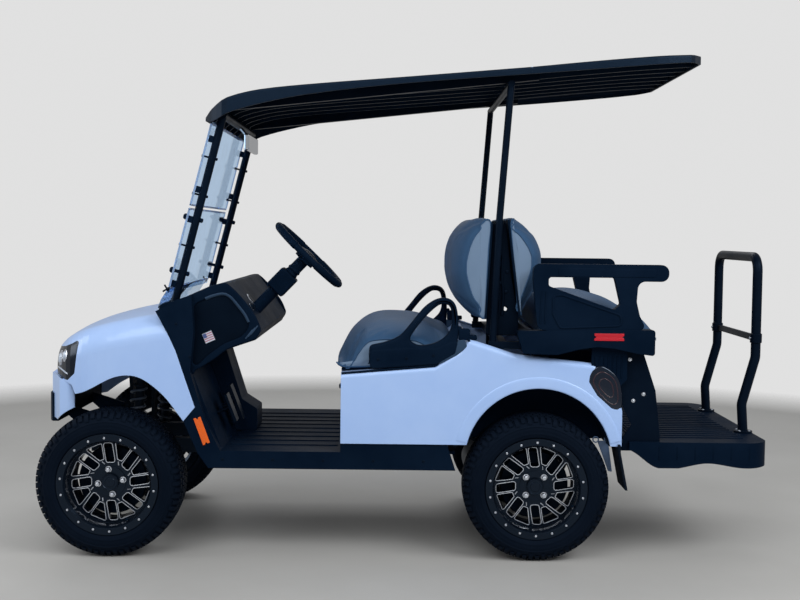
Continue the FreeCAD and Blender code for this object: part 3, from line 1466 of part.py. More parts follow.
def front_zone_form():
    """Everything ahead of the front backrest's shell."""
    low, high = front_flat()
    outline = flat_wedge(low, high, -back_shell)
    (low_x, low_z), (high_x, high_z) = outline[3], outline[2]
    lean = (high_x - low_x) / (high_z - low_z)
    drop = low_z - seat_frame_top_z
    return across([(low_x - lean * drop, seat_frame_top_z), (high_x, high_z), (front_back_x + overrun, high_z),
                   (front_back_x + overrun, seat_frame_top_z)], back_half - sidewall)


def rear_zone_form():
    """Everything behind the rear backrest's shell."""
    (low_x, low_z), (top_x, top_z) = rear_flat()
    return across([(low_x + back_shell, low_z), (top_x + back_shell, top_z),
                   (rear_back_x - 2 * rear_back_depth, top_z), (rear_back_x - 2 * rear_back_depth, low_z)],
                  back_half - sidewall)


# Rear seat
def rear_seat_frame():
    """Square-tube frame under the rear seat, on legs from the chassis rails."""
    half = seat_tube / 2
    z = (seat_frame_low_z, seat_frame_top_z)
    ear_top = deck_hinge_z + deck_pin_diameter
    side_tube = block((seat_frame_rear_x, seat_frame_front_x), (seat_frame_y - half, seat_frame_y + half), z)
    ear = block((seat_frame_rear_x, deck_hinge_x + seat_tube), (seat_frame_y - half / 2, seat_frame_y + half / 2),
                (seat_frame_low_z, ear_top))
    hole = pin(Vector(deck_hinge_x, 0, deck_hinge_z), ALONG_Y, deck_pin_diameter + 2 * running,
               -body_half, body_half)
    pieces = [side_tube, mirrored(side_tube), ear, mirrored(ear)]
    for x in (seat_frame_front_x - 2 * seat_tube, bagwell_front_x + seat_tube):
        pieces.append(block((x - half, x + half), (-seat_frame_y, seat_frame_y), z))
        for side in (-rail_y, rail_y):
            pieces.append(block((x - half, x + half), (side - half, side + half), (rear_rail_top_z, seat_frame_top_z)))
    rest = seat_frame_top_z + seat_tube / 4 - rest_gap
    for x in (seat_frame_front_x - 8 * seat_tube,):
        pieces.append(block((x - half, x + half), (-seat_frame_y, seat_frame_y), (seat_frame_low_z, rest)))
    return joined(pieces).cut(hole)


def rear_seat_deck():
    """Board under the rear cushion, with its hinge pins."""
    deck = block((deck_rear_x, deck_front_x), (-deck_half, deck_half), (deck_low_z, deck_low_z + deck_thickness))
    pins = pin(Vector(deck_hinge_x, 0, deck_hinge_z), ALONG_Y, deck_pin_diameter,
               -seat_frame_y - seat_tube / 4, seat_frame_y + seat_tube / 4)
    return joined([deck, pins])


def rear_cushion():
    """Rear bench cushion as one soft solid."""
    start = (deck_front_x, deck_low_z + deck_thickness)
    cushion = across(fitted(rear_cushion_shares, start, (-rear_cushion_length, rear_cushion_height)),
                     rear_cushion_half, sidewall)
    return trimmed(cushion, rear_seat_deck())


def rear_arm():
    """Side rail of the rear seat with its armrest."""
    start_x = seat_frame_rear_x + rail_trim_length
    inner = seat_frame_y + seat_tube / 2
    rail = plate(fitted(rail_trim_shares, (start_x, rail_trim_low_z), (-rail_trim_length, rail_trim_height)),
                 "xz", (inner, rail_trim_outer_y), rim_flange)
    base = rail_trim_low_z + rail_trim_height
    size = (-arm_length, arm_height)
    outer_y = rail_trim_outer_y - panel_wall
    loop = plate(fitted(arm_shares, (arm_front_x, base - panel_wall), size), "xz",
                 (outer_y - arm_thickness, outer_y), seat_tube)
    near_share, far_share = arm_foot_shares
    foot = block((arm_front_x - far_share * arm_length, arm_front_x - near_share * arm_length), (outer_y - arm_thickness, outer_y),
                 (base - seat_tube, base + panel_wall))
    hole = plate(fitted(arm_hole_shares, (arm_front_x, base), size), "xz",
                 (outer_y - arm_thickness - overrun, outer_y + overrun), rim_flange)
    return trimmed(joined([rail, loop, foot]).cut(hole), side_plate(), body_outer())


def rear_trim():
    """Black columns between the rear corners of the body and the side rails."""
    z = (trim_low_z, rail_trim_low_z + rail_trim_height)
    outline = [(trim_front_x, z[1]), (trim_rear_x, z[1]), (trim_rear_x, trim_knee_z),
               (trim_rear_x + trim_notch, trim_knee_z - trim_notch), (trim_rear_x + trim_notch / 2, z[0]),
               (trim_front_x, z[0])]
    column = plate(outline, "xz", (seat_frame_y + seat_tube / 2 + 2 * plate_thickness, side_outer_y))
    left = trimmed(column, rear_arm(), body_outer(), tail_lamp_form(0), side_plate())
    return both_sides(max(left.Solids, key=lambda solid: solid.Volume))


def bagwell():
    """Open-topped bin between the rear seat's legs."""
    z = (rear_rail_top_z, rear_rail_top_z + bagwell_height)
    outer = block((bagwell_rear_x, bagwell_front_x), (-bagwell_half, bagwell_half), z)
    inner = block((bagwell_rear_x + panel_wall, bagwell_front_x - panel_wall),
                  (panel_wall - bagwell_half, bagwell_half - panel_wall), (z[0] + panel_wall, z[1] + overrun))
    return outer.cut(inner)


# Rear step
def side_plate():
    """Steel plate that ties the seat frame to the step frame, left side."""
    low = rear_rail_low_z - step_tube
    outline = fitted(plate_shares, (step_cross_x + step_tube / 2, low), (-plate_length, seat_frame_top_z - low))
    inner = seat_frame_y + seat_tube / 2
    return plate(outline, "xz", (inner, inner + plate_thickness))


def step_frame():
    """Steel side plates with the tubes that carry the footboard."""
    high = rear_rail_low_z
    span = (high - step_tube, high)
    inner = seat_frame_y + seat_tube / 2
    cross = block((step_cross_x - step_tube / 2, step_cross_x + step_tube / 2), (-inner, inner), span)
    end = step_rear_x + step_tube
    tubes = [block((end, step_cross_x), (side - step_tube / 2, side + step_tube / 2), span)
             for side in (-step_tube_y, step_tube_y)]
    return joined([cross, side_plate(), mirrored(side_plate())] + tubes)


def rear_step():
    """Moulded footboard with a wavy skirt, open below."""
    plan = [(step_front_x, -step_half), (step_rear_x, -step_half), (step_rear_x, step_half), (step_front_x, step_half)]
    low = step_top_z - step_depth
    slab = plate(plan, "xy", (low, step_top_z), step_corner)
    inner_plan = [(step_front_x + overrun, step_wall - step_half), (step_rear_x + step_wall, step_wall - step_half),
                  (step_rear_x + step_wall, step_half - step_wall), (step_front_x + overrun, step_half - step_wall)]
    void = plate(inner_plan, "xy", (low - overrun, step_top_z - step_wall), step_corner - step_wall)
    front_square = block((step_front_x - step_corner, step_front_x), (-step_half, step_half), (low, step_top_z))
    front_void = block((step_front_x - step_corner - overrun, step_front_x + overrun),
                       (step_wall - step_half, step_half - step_wall), (low - overrun, step_top_z - step_wall))
    length = step_front_x - step_rear_x
    rise = step_depth / 4
    wave = [Vector(step_front_x - share * length, 0, low + up * rise) for share, up in step_wave_shares]
    spline = Part.BSplineCurve()
    spline.interpolate(wave)
    end, start = wave[-1], wave[0]
    corners = [end, end - ALONG_Z * (2 * overrun), start - ALONG_Z * (2 * overrun), start]
    edges = [spline.toShape()] + [Part.LineSegment(a, b).toShape() for a, b in zip(corners, corners[1:])]
    cutter = Part.Face(Part.Wire(edges)).extrude(ALONG_Y * (2 * body_half))
    cutter.translate(ALONG_Y * -body_half)
    plates = both_sides(side_plate())
    return trimmed(joined([slab, front_square]), void, front_void, cutter, plates, step_frame())


def grab_hoop():
    """Bent grab hoop that stands on the step, with its cross bar."""
    points = [(hoop_foot_lean, step_top_z), (hoop_foot_lean * hoop_bulge_share, step_top_z + 3 * hoop_diameter),
              (0, hoop_bar_z - 2 * hoop_diameter), (0, hoop_top_z - hoop_diameter / 2)]
    left = [Vector(hoop_x + lean, hoop_y, z) for lean, z in points]
    right = [Vector(point.x, -point.y, point.z) for point in reversed(left)]
    hoop = bar(left + right, hoop_diameter, hoop_corner)
    cross = block((hoop_x - hoop_bar_thickness / 2, hoop_x + hoop_bar_thickness / 2), (-hoop_y, hoop_y),
                  (hoop_bar_z - hoop_bar_height / 2, hoop_bar_z + hoop_bar_height / 2))
    feet = [pin(Vector(hoop_x + hoop_foot_lean, side, step_top_z), ALONG_Z, hoop_foot_diameter, 0, hoop_foot_thickness)
            for side in (-hoop_y, hoop_y)]
    below = block((hoop_x - 2 * hoop_diameter, hoop_x + hoop_foot_lean + hoop_diameter),
                  (-body_half, body_half), (step_top_z - overrun, step_top_z))
    return joined([hoop, cross] + feet).cut(below)


def mud_flaps():
    """Rubber flaps behind the rear wheels."""
    x = step_cross_x + step_tube / 2
    top = rear_rail_low_z
    lean = step_tube
    outline = [(x, top), (x, top - step_tube), (x - lean, top - step_tube - flap_length),
               (x - lean + flap_thickness, top - step_tube - flap_length), (x + flap_thickness, top - step_tube),
               (x + flap_thickness, top)]
    flap = plate(outline, "xz", (rail_trim_outer_y - flap_width, rail_trim_outer_y - panel_wall))
    return both_sides(trimmed(flap, body_outer(), side_plate()))


def pillar_reflectors():
    """Amber reflectors on the front pillars."""
    foot = (floor_front_x + reflector_height / 2, body_low_z - panel_wall)
    front = plate(fitted(amber_shares, foot, (reflector_width, reflector_height)), "xz",
                  (side_outer_y, side_outer_y + reflector_thickness))
    return both_sides(front)


def rail_reflectors():
    """Red reflectors on the rear seat's side rails."""
    x = seat_frame_rear_x + rail_reflector_set
    rear = block((x - rail_reflector_length, x), (rail_trim_outer_y, rail_trim_outer_y + reflector_thickness),
                 (rail_reflector_low_z, rail_reflector_low_z + rail_reflector_height))
    return both_sides(rear)


def parts():
    """Every node of the cart, by name."""
    nodes = {
        "frame_rails": both_sides(frame_rail()),
        "cross_members": cross_members(),
        "front_subframe": front_subframe(),
        "shock_towers": shock_towers(),
        "tow_plate": tow_plate(),
        "front_suspension": front_suspension(),
        "rear_axle": rear_axle(),
        "leaf_springs": leaf_springs(),
        "battery_pack": battery(),
        "floor_pan": floor_pan(),
        "side_panels": both_sides(side_panel()),
        "front_cowl": front_cowl(),
        "headlamps": headlamps(),
        "bumper_skin": bumper_skin(),
        "bumper_strip": bumper_strip(),
        "dashboard": dashboard(),
        "centre_console": centre_console(),
        "steering_column": steering_column(),
        "pedals": pedals(),
        "screen_frame": screen_frame(),
        "screen_panes": Part.makeCompound([glass(lower_glass_low_z, lower_glass_high_z),
                                           glass(lower_glass_high_z + glass_seam, upper_glass_high_z)]),
        "screen_clips": screen_clips(),
        "mirror": mirror(),
        "roof_front": canopy(roof_station_shares, -roof_wall, -overrun),
        "roof_rear": canopy(roof_tail_shares, overrun, roof_wall),
        "roof_frame": roof_frame(),
        "rear_body": rear_body(),
        "arch_liners": arch_liners(),
        "tail_lamps": tail_lamps(),
        "backrests": Part.makeCompound([front_backrest(), rear_backrest()]),
        "back_shells": Part.makeCompound([front_back_shell(), rear_back_shell()]),
        "rear_posts": rear_posts(),
        "rear_seat_frame": rear_seat_frame(),
        "rear_arms": both_sides(rear_arm()),
        "hip_restraints": both_sides(hip_restraint()),
        "rear_trim": rear_trim(),
        "bagwell": bagwell(),
        "step_frame": step_frame(),
        "rear_step": rear_step(),
        "grab_hoop": grab_hoop(),
        "mud_flaps": mud_flaps(),
        "pillar_reflectors": pillar_reflectors(),
        "rail_reflectors": rail_reflectors(),
        "front_cushion": front_cushion(),
        "front_seat_pan": front_seat_pan(),
        "seat_hinges": seat_hinges(),
        "rear_cushion": rear_cushion(),
        "rear_seat_deck": rear_seat_deck(),
        "steering_wheel": steering_wheel(),
        "steering_rack": steering_rack(),
        "knuckle_left": knuckle(),
        "knuckle_right": mirrored(knuckle()),
    }
    for end, x, lug_turn in (("front", front_axle_x, front_lug_turn), ("rear", rear_axle_x, rear_lug_turn)):
        centre = Vector(x, wheel_y, axle_z)
        left_rim = rim(centre, lug_turn)
        left_tyre = tyre(centre)
        nodes["rim_" + end + "_left"] = left_rim
        nodes["rim_" + end + "_right"] = mirrored(left_rim)
        nodes["tyre_" + end + "_left"] = left_tyre
        nodes["tyre_" + end + "_right"] = mirrored(left_tyre)
    return nodes


os.makedirs("parts", exist_ok=True)
for name, shape in parts().items():
    shape.exportStep("parts/" + name + ".step")
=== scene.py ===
"""A golf cart dressed for a studio picture: wheels, body, seats, roof and their finishes."""

import json
import logging
import math
from dataclasses import dataclass
from enum import Enum

import bmesh
import bpy
from mathutils import Matrix, Vector
from mathutils.bvhtree import BVHTree


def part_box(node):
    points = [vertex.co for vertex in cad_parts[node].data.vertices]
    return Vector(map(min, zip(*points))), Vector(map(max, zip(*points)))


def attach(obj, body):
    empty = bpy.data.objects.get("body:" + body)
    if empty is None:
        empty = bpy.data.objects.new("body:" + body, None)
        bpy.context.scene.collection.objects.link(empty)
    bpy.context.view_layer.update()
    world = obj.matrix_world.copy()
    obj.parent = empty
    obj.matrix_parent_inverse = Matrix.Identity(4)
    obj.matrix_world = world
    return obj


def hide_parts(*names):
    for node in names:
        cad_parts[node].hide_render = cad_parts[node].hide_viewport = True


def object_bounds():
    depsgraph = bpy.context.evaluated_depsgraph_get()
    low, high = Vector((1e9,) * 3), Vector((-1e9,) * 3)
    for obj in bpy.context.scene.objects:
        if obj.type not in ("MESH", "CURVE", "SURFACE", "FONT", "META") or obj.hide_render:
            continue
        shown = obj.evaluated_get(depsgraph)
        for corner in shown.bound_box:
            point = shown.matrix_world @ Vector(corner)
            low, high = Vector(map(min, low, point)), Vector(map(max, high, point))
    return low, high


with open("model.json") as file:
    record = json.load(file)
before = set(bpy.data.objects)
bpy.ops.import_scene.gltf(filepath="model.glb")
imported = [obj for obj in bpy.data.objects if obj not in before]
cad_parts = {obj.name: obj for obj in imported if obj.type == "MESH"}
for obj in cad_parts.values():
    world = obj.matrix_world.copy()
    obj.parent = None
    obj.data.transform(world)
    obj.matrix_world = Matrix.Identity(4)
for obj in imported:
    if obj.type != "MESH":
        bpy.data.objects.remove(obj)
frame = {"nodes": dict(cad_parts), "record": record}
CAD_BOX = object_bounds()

LOG = logging.getLogger("golf_cart")
Point = tuple[float, float, float]
Flat = tuple[float, float]
Colour = tuple[float, float, float]
Socket = bpy.types.NodeSocket
LEFTWARD, UPWARD, FORWARD = (0, 1, 0), (0, 0, 1), (1, 0, 0)
TINY = 1e-9


class Side(Enum):
    """Left or right of the cart, as the sign of Y."""

    LEFT = 1
    RIGHT = -1


# Finishes


class Graph:
    """A node tree while it is being wired."""

    def __init__(self, tree: bpy.types.NodeTree) -> None:
        """Args:
            tree: the material's or group's node tree.
        """
        self.tree = tree

    def feed(self, socket: Socket, value: object) -> None:
        """Link a socket to another, or set its number or colour.

        Args:
            socket: the one to feed.
            value: the other socket, or a number or colour.
        """
        if isinstance(value, Socket):
            self.tree.links.new(value, socket)
        else:
            socket.default_value = (*value, 1.0) if isinstance(value, tuple) else value

    def add(self, kind: str, inputs: dict[object, object] | None = None, **settings: object) -> bpy.types.Node:
        """Add a shader node.

        Args:
            kind: the last part of its Blender type.
            inputs: what feeds its inputs, by name or number.
            settings: attributes to set on it.

        Returns:
            The new node.
        """
        node = self.tree.nodes.new("ShaderNode" + kind)
        for key, value in settings.items():
            setattr(node, key, value)
        for key, value in (inputs or {}).items():
            self.feed(node.inputs[key], value)
        return node

    def maths(self, operation: str, first: object, second: object = 0.0) -> Socket:
        """What a Math node makes of two sockets or numbers."""
        return self.add("Math", {0: first, 1: second}, operation=operation).outputs[0]

    def times(self, first: object, second: object) -> Socket:
        """The product of two sockets or numbers."""
        return self.maths("MULTIPLY", first, second)

    def noise(self, place: Socket, scale: object, detail: float, rough: float = 0.5) -> Socket:
        """The value of a noise texture at some coordinates."""
        inputs = {"Vector": place, "Scale": scale, "Detail": detail, "Roughness": rough}
        return self.add("TexNoise", inputs).outputs["Fac"]

    def ramp(self, value: Socket, low: float, high: float) -> Socket:
        """Stretch a value so that low becomes 0 and high becomes 1."""
        return self.add("MapRange", {"Value": value, "From Min": low, "From Max": high}).outputs["Result"]

    def blend(self, mask: Socket, first: object, second: object) -> Socket:
        """Mix two colours, with the second where the mask is 1."""
        return self.add("Mix", {"Factor": mask, 6: first, 7: second}, data_type="RGBA").outputs[2]


def effect_group(name: str, inputs: dict[str, float], output: str) -> tuple[Graph, bpy.types.Node, Socket]:
    """Start a shared shader node group.

    Args:
        name: the group's name.
        inputs: its number sockets and their defaults.
        output: what it puts out.

    Returns:
        Its graph, its input node and the socket that takes the result.
    """
    tree = bpy.data.node_groups.new(name, "ShaderNodeTree")
    for label, value in inputs.items():
        tree.interface.new_socket(label, in_out="INPUT", socket_type="NodeSocketFloat").default_value = value
    tree.interface.new_socket(output, in_out="OUTPUT", socket_type="NodeSocketFloat")
    return Graph(tree), tree.nodes.new("NodeGroupInput"), tree.nodes.new("NodeGroupOutput").inputs[output]


def build_grain() -> bpy.types.NodeTree:
    """Fine moulded or leathery grain: cells over soft waves.

    Returns:
        The group, which puts out a height.
    """
    graph, entry, result = effect_group("fine_grain", {"Scale": 900.0}, "Height")
    place, scale = graph.add("TexCoord").outputs["Object"], entry.outputs["Scale"]
    cells = graph.add("TexVoronoi", {"Vector": place, "Scale": scale, "Smoothness": 0.5}, feature="SMOOTH_F1")
    waves = graph.noise(place, graph.times(scale, 0.13), 2.0)
    graph.feed(result, graph.maths("ADD", cells.outputs["Distance"], graph.times(waves, 0.6)))
    return graph.tree


def build_dust() -> bpy.types.NodeTree:
    """Thin dust on what faces up and near the ground.

    Returns:
        The group, which puts out a mask.
    """
    graph, entry, result = effect_group("road_dust", {"Amount": 0.3, "Height": 0.35}, "Mask")
    skin = graph.add("NewGeometry").outputs
    facing, level = (graph.add("SeparateXYZ", {0: skin[label]}).outputs["Z"] for label in ("Normal", "Position"))
    low = graph.maths("SUBTRACT", 1.0, graph.maths("DIVIDE", level, entry.outputs["Height"]))
    sheet = graph.maths("MAXIMUM", low, graph.times(graph.ramp(facing, 0.2, 1.0), 0.35))
    patches = graph.ramp(graph.noise(skin["Position"], 9.0, 5.0, 0.6), 0.35, 0.75)
    speckle = graph.ramp(graph.noise(skin["Position"], 160.0, 2.0), 0.4, 0.75)
    dirt = graph.times(patches, graph.maths("ADD", graph.times(speckle, 0.5), 0.5))
    mask = graph.times(graph.times(sheet, dirt), entry.outputs["Amount"])
    graph.feed(result, graph.ramp(mask, 0.0, 1.0))
    return graph.tree


def build_wear() -> bpy.types.NodeTree:
    """Worn edges: where a rounded normal leaves the true one.

    Returns:
        The group, which puts out a mask.
    """
    graph, entry, result = effect_group("edge_wear", {"Width": 0.0015, "Amount": 0.5}, "Mask")
    soft = graph.add("Bevel", {"Radius": entry.outputs["Width"]}, samples=4).outputs[0]
    skin = graph.add("NewGeometry").outputs
    dot = graph.add("VectorMath", {0: soft, 1: skin["Normal"]}, operation="DOT_PRODUCT").outputs["Value"]
    edge = graph.ramp(graph.maths("SUBTRACT", 1.0, dot), 0.02, 0.22)
    patches = graph.ramp(graph.noise(skin["Position"], 70.0, 4.0, 0.65), 0.42, 0.62)
    graph.feed(result, graph.times(graph.times(edge, patches), entry.outputs["Amount"]))
    return graph.tree


GRAIN, DUST, WEAR = build_grain(), build_dust(), build_wear()


def open_material(name: str) -> tuple[bpy.types.Material, Graph, bpy.types.NodeInputs, Socket]:
    """Start a material.

    Args:
        name: its name.

    Returns:
        The material, its graph, its shader's inputs and its object coordinates.
    """
    material = bpy.data.materials.new(name)
    material.use_nodes = True
    graph = Graph(material.node_tree)
    inputs = material.node_tree.nodes["Principled BSDF"].inputs
    return material, graph, inputs, graph.add("TexCoord").outputs["Object"]


@dataclass(frozen=True)
class Finish:
    """A material with its own colour, gloss, grain, dust and worn edges."""

    name: str
    colour: Colour
    second: Colour
    rough: float = 0.5
    rough_spread: float = 0.1
    metal: float = 0.0
    coat: float = 0.0
    coat_rough: float = 0.05
    grain_scale: float = 900.0
    grain_depth: float = 0.0
    patch_scale: float = 6.0
    dust: float = 0.0
    dust_height: float = 0.45
    dust_colour: Colour = (0.035, 0.052, 0.080)
    wear: float = 0.0
    wear_width: float = 0.0015
    wear_colour: Colour = (0.55, 0.56, 0.58)
    specular: float = 0.5
    gleam: Colour = (1.0, 1.0, 1.0)
    soft_edge: float = 0.0

    def build(self) -> bpy.types.Material:
        """Make the material.

        Returns:
            The material.
        """
        material, graph, inputs, place = open_material(self.name)
        patches = graph.ramp(graph.noise(place, self.patch_scale, 4.0, 0.55), 0.35, 0.65)
        colour = graph.blend(patches, self.colour, self.second)
        rough = graph.maths("ADD", graph.times(patches, self.rough_spread), self.rough)
        metal: object = self.metal
        if self.wear:
            worn = graph.add("Group", {"Width": self.wear_width, "Amount": self.wear}, node_tree=WEAR).outputs["Mask"]
            colour, metal = graph.blend(worn, colour, self.wear_colour), graph.maths("MAXIMUM", worn, self.metal)
        if self.dust:
            setting = {"Amount": self.dust, "Height": self.dust_height}
            dusty = graph.add("Group", setting, node_tree=DUST).outputs["Mask"]
            colour = graph.blend(dusty, colour, self.dust_colour)
            rough = graph.maths("ADD", rough, graph.times(dusty, 0.4))
        looks = {"Base Color": colour, "Roughness": graph.maths("MINIMUM", rough, 1.0), "Metallic": metal,
                 "Coat Weight": self.coat, "Coat Roughness": self.coat_rough, "Specular IOR Level": self.specular,
                 "Specular Tint": self.gleam}
        normal: dict[object, object] = {}
        if self.soft_edge:
            normal["Normal"] = graph.add("Bevel", {"Radius": self.soft_edge}, samples=4).outputs["Normal"]
        if self.grain_depth:
            height = graph.add("Group", {"Scale": self.grain_scale}, node_tree=GRAIN).outputs["Height"]
            bump = {"Strength": 0.6, "Distance": self.grain_depth, "Height": height, **normal}
            normal["Normal"] = graph.add("Bump", bump).outputs["Normal"]
        for label, value in (looks | normal).items():
            graph.feed(inputs[label], value)
        return material


@dataclass(frozen=True)
class ClearFinish:
    """Glass or a lens."""

    name: str
    colour: Colour
    rough: float = 0.02
    transmission: float = 1.0
    ior: float = 1.45
    smear_tint: float = 0.94
    smear_rough: float = 0.05

    def build(self) -> bpy.types.Material:
        """Make the material.

        Returns:
            The material.
        """
        material, graph, inputs, place = open_material(self.name)
        smear = graph.ramp(graph.noise(place, 14.0, 5.0, 0.6), 0.45, 0.8)
        smeared = tuple(channel * self.smear_tint for channel in self.colour)
        looks = {"Roughness": graph.maths("ADD", graph.times(smear, self.smear_rough), self.rough),
                 "Base Color": graph.blend(smear, self.colour, smeared),
                 "Transmission Weight": self.transmission, "IOR": self.ior}
        for label, value in looks.items():
            graph.feed(inputs[label], value)
        return material


NAVY = (0.35, 0.60, 1.0)
FINISHES = (
    Finish("body_paint", (0.37, 0.54, 0.90), (0.40, 0.57, 0.92), rough=0.30, rough_spread=0.05, coat=0.35,
           coat_rough=0.12, gleam=(0.55, 0.75, 1.0), dust=0.12, dust_height=0.75, dust_colour=(0.20, 0.26, 0.36),
           soft_edge=0.003),
    Finish("moulded_black", (0.0022, 0.0070, 0.0180), (0.0036, 0.0100, 0.0240), rough=0.42, rough_spread=0.12,
           grain_scale=1400.0, grain_depth=0.0002, dust=0.02, specular=0.03, gleam=NAVY, soft_edge=0.003),
    Finish("smooth_black", (0.0016, 0.0040, 0.0095), (0.0022, 0.0055, 0.0125), rough=0.36, specular=0.06,
           gleam=NAVY, soft_edge=0.001),
    # slate_plastic: on the dash bays' rims this lighter colour is a painted highlight, standing in for the light on
    # their upper lip
    Finish("slate_plastic", (0.024, 0.046, 0.084), (0.030, 0.056, 0.100), rough=0.40, grain_scale=1200.0,
           grain_depth=0.0003, specular=0.25, gleam=NAVY, soft_edge=0.001),
    Finish("roof_black", (0.0022, 0.0065, 0.0150), (0.0030, 0.0080, 0.0180), rough=0.38, rough_spread=0.04,
           grain_depth=0.0004, specular=0.20, gleam=NAVY, soft_edge=0.003),
    Finish("coated_steel", (0.0020, 0.0050, 0.0120), (0.0030, 0.0070, 0.0155), rough=0.30, grain_scale=2500.0,
           grain_depth=0.0001, wear=0.05, dust=0.01, specular=0.07, gleam=NAVY, wear_colour=(0.10, 0.13, 0.18),
           soft_edge=0.002),
    Finish("chassis_steel", (0.0050, 0.0075, 0.0120), (0.0080, 0.0110, 0.0160), rough_spread=0.2, grain_scale=600.0,
           grain_depth=0.0004, wear=0.25, dust=0.25, specular=0.35, gleam=NAVY, wear_colour=(0.20, 0.22, 0.26),
           soft_edge=0.002),
    Finish("cast_alloy", (0.12, 0.135, 0.165), (0.085, 0.095, 0.120), rough=0.45, rough_spread=0.2, metal=0.9,
           grain_scale=500.0, grain_depth=0.0006, dust=0.4, soft_edge=0.002),
    Finish("zinc_plate", (0.42, 0.47, 0.55), (0.30, 0.34, 0.41), rough=0.32, rough_spread=0.2, metal=1.0,
           patch_scale=25.0, dust=0.25),
    Finish("bright_alloy", (0.78, 0.82, 0.90), (0.66, 0.71, 0.80), rough=0.22, rough_spread=0.12, metal=1.0,
           patch_scale=30.0),
    Finish("galvanised", (0.090, 0.150, 0.270), (0.070, 0.120, 0.220), rough=0.4, rough_spread=0.15, dust=0.1),
    Finish("spring_pale", (0.10, 0.13, 0.19), (0.07, 0.10, 0.15), rough=0.35, rough_spread=0.15, dust=0.2),
    Finish("gloss_black", (0.0014, 0.0030, 0.0065), (0.0022, 0.0042, 0.0085), rough=0.18, rough_spread=0.08,
           coat=0.15, dust=0.03, specular=0.3, gleam=NAVY, soft_edge=0.0012),
    Finish("seat_vinyl", (0.145, 0.215, 0.320), (0.160, 0.232, 0.340), rough=0.46, grain_scale=650.0,
           grain_depth=0.0006, patch_scale=4.0, specular=0.20, gleam=NAVY),
    Finish("seat_vinyl_dark", (0.032, 0.078, 0.160), (0.040, 0.090, 0.178), rough=0.52, grain_scale=650.0,
           grain_depth=0.0006, patch_scale=4.0, specular=0.12, gleam=NAVY),
    Finish("tyre_rubber", (0.0014, 0.0030, 0.0075), (0.0026, 0.0048, 0.0105), rough=0.62, rough_spread=0.15,
           grain_scale=700.0, grain_depth=0.0003, dust=0.05, dust_height=0.30, specular=0.12, gleam=NAVY),
    Finish("flap_rubber", (0.0020, 0.0040, 0.0090), (0.0032, 0.0060, 0.0120), rough=0.6, rough_spread=0.15,
           grain_scale=500.0, grain_depth=0.0004, dust=0.1, specular=0.15, gleam=NAVY, soft_edge=0.002),
    Finish("battery_case", (0.010, 0.013, 0.018), (0.016, 0.019, 0.025), grain_scale=700.0, grain_depth=0.0004,
           dust=0.15, soft_edge=0.002),
    Finish("amber_reflector", (0.80, 0.12, 0.001), (0.70, 0.09, 0.001), rough=0.25, coat=0.3, grain_scale=420.0,
           grain_depth=0.0012),
    Finish("red_reflector", (0.56, 0.002, 0.018), (0.46, 0.002, 0.014), rough=0.25, coat=0.2, grain_scale=420.0,
           grain_depth=0.0012),
    Finish("smoked_lens", (0.0030, 0.0060, 0.0130), (0.0060, 0.0060, 0.0110), rough=0.10, coat=0.6, specular=0.4,
           gleam=NAVY),
    Finish("red_dim", (0.050, 0.006, 0.010), (0.035, 0.004, 0.008), rough=0.2, coat=0.5),
    Finish("tread_alloy", (0.30, 0.34, 0.40), (0.22, 0.25, 0.31), rough=0.35, rough_spread=0.2, metal=1.0, dust=0.3,
           dust_height=1.2),
    Finish("mirror_face", (0.80, 0.84, 0.90), (0.78, 0.82, 0.88), rough=0.03, rough_spread=0.03, metal=1.0),
    Finish("sticker_pale", (0.55, 0.60, 0.70), (0.50, 0.55, 0.65), rough=0.4),
    Finish("sticker_rose", (0.42, 0.16, 0.22), (0.38, 0.14, 0.20), rough=0.4),
    Finish("sticker_blue", (0.06, 0.09, 0.25), (0.05, 0.08, 0.22), rough=0.4),
    Finish("edge_pale", (0.42, 0.60, 0.85), (0.36, 0.54, 0.80), rough=0.25, coat=0.5),
    Finish("lamp_pale", (0.50, 0.58, 0.70), (0.42, 0.50, 0.62), rough=0.08, coat=1.0),
    ClearFinish("screen_clear", (0.55, 0.74, 0.98), ior=1.08),
    ClearFinish("edge_clear", (0.48, 0.66, 0.92), rough=0.10, transmission=0.55, ior=1.20),
)

# The finish of each of the record's material slots, and of the nodes that differ from their slot's.
SLOT_FINISH = {
    "body_paint": "body_paint", "black_plastic": "moulded_black", "black_steel": "coated_steel",
    "cast_grey": "cast_alloy", "zinc_steel": "zinc_plate", "battery_case": "battery_case",
    "lamp_lens": "gloss_black", "screen_glass": "screen_clear", "mirror_glass": "mirror_face",
    "roof_shell": "roof_black", "red_lens": "red_reflector", "seat_cover": "seat_vinyl",
    "flap_rubber": "flap_rubber", "reflector_lens": "amber_reflector", "tread_plate": "tread_alloy",
    "wheel_alloy": "gloss_black", "tyre": "tyre_rubber",
}
NODE_FINISH = {"tail_lamps": "smoked_lens"} | dict.fromkeys(
    ("frame_rails", "cross_members", "front_subframe", "shock_towers", "tow_plate", "front_suspension",
     "leaf_springs"), "chassis_steel")

# The slot that goes with a piece's finish, unless the piece names another; place looks it up but gives it to no piece.
PIECE_SLOT = {finish: slot for slot, finish in SLOT_FINISH.items()} | {
    "smooth_black": "black_plastic", "slate_plastic": "black_plastic", "sticker_pale": "black_plastic",
    "sticker_rose": "black_plastic", "sticker_blue": "black_plastic", "bright_alloy": "zinc_steel",
    "galvanised": "zinc_steel", "spring_pale": "zinc_steel", "edge_clear": "screen_glass", "lamp_pale": "lamp_lens",
    "edge_pale": "roof_shell", "smoked_lens": "red_lens", "red_dim": "red_lens", "seat_vinyl_dark": "seat_cover",
}


def dress_nodes(palette: dict[str, bpy.types.Material]) -> None:
    """Give every CAD node its finish.

    Args:
        palette: the materials by finish.
    """
    slots = {row["node"]: row["material_slot"] for row in frame["record"]["subparts"]}
    for name, node in frame["nodes"].items():
        finish = NODE_FINISH.get(name, SLOT_FINISH[slots[name]])
        node.data.materials.clear()
        node.data.materials.append(palette[finish])
        LOG.info("node %s takes %s", name, finish)


# Making meshes


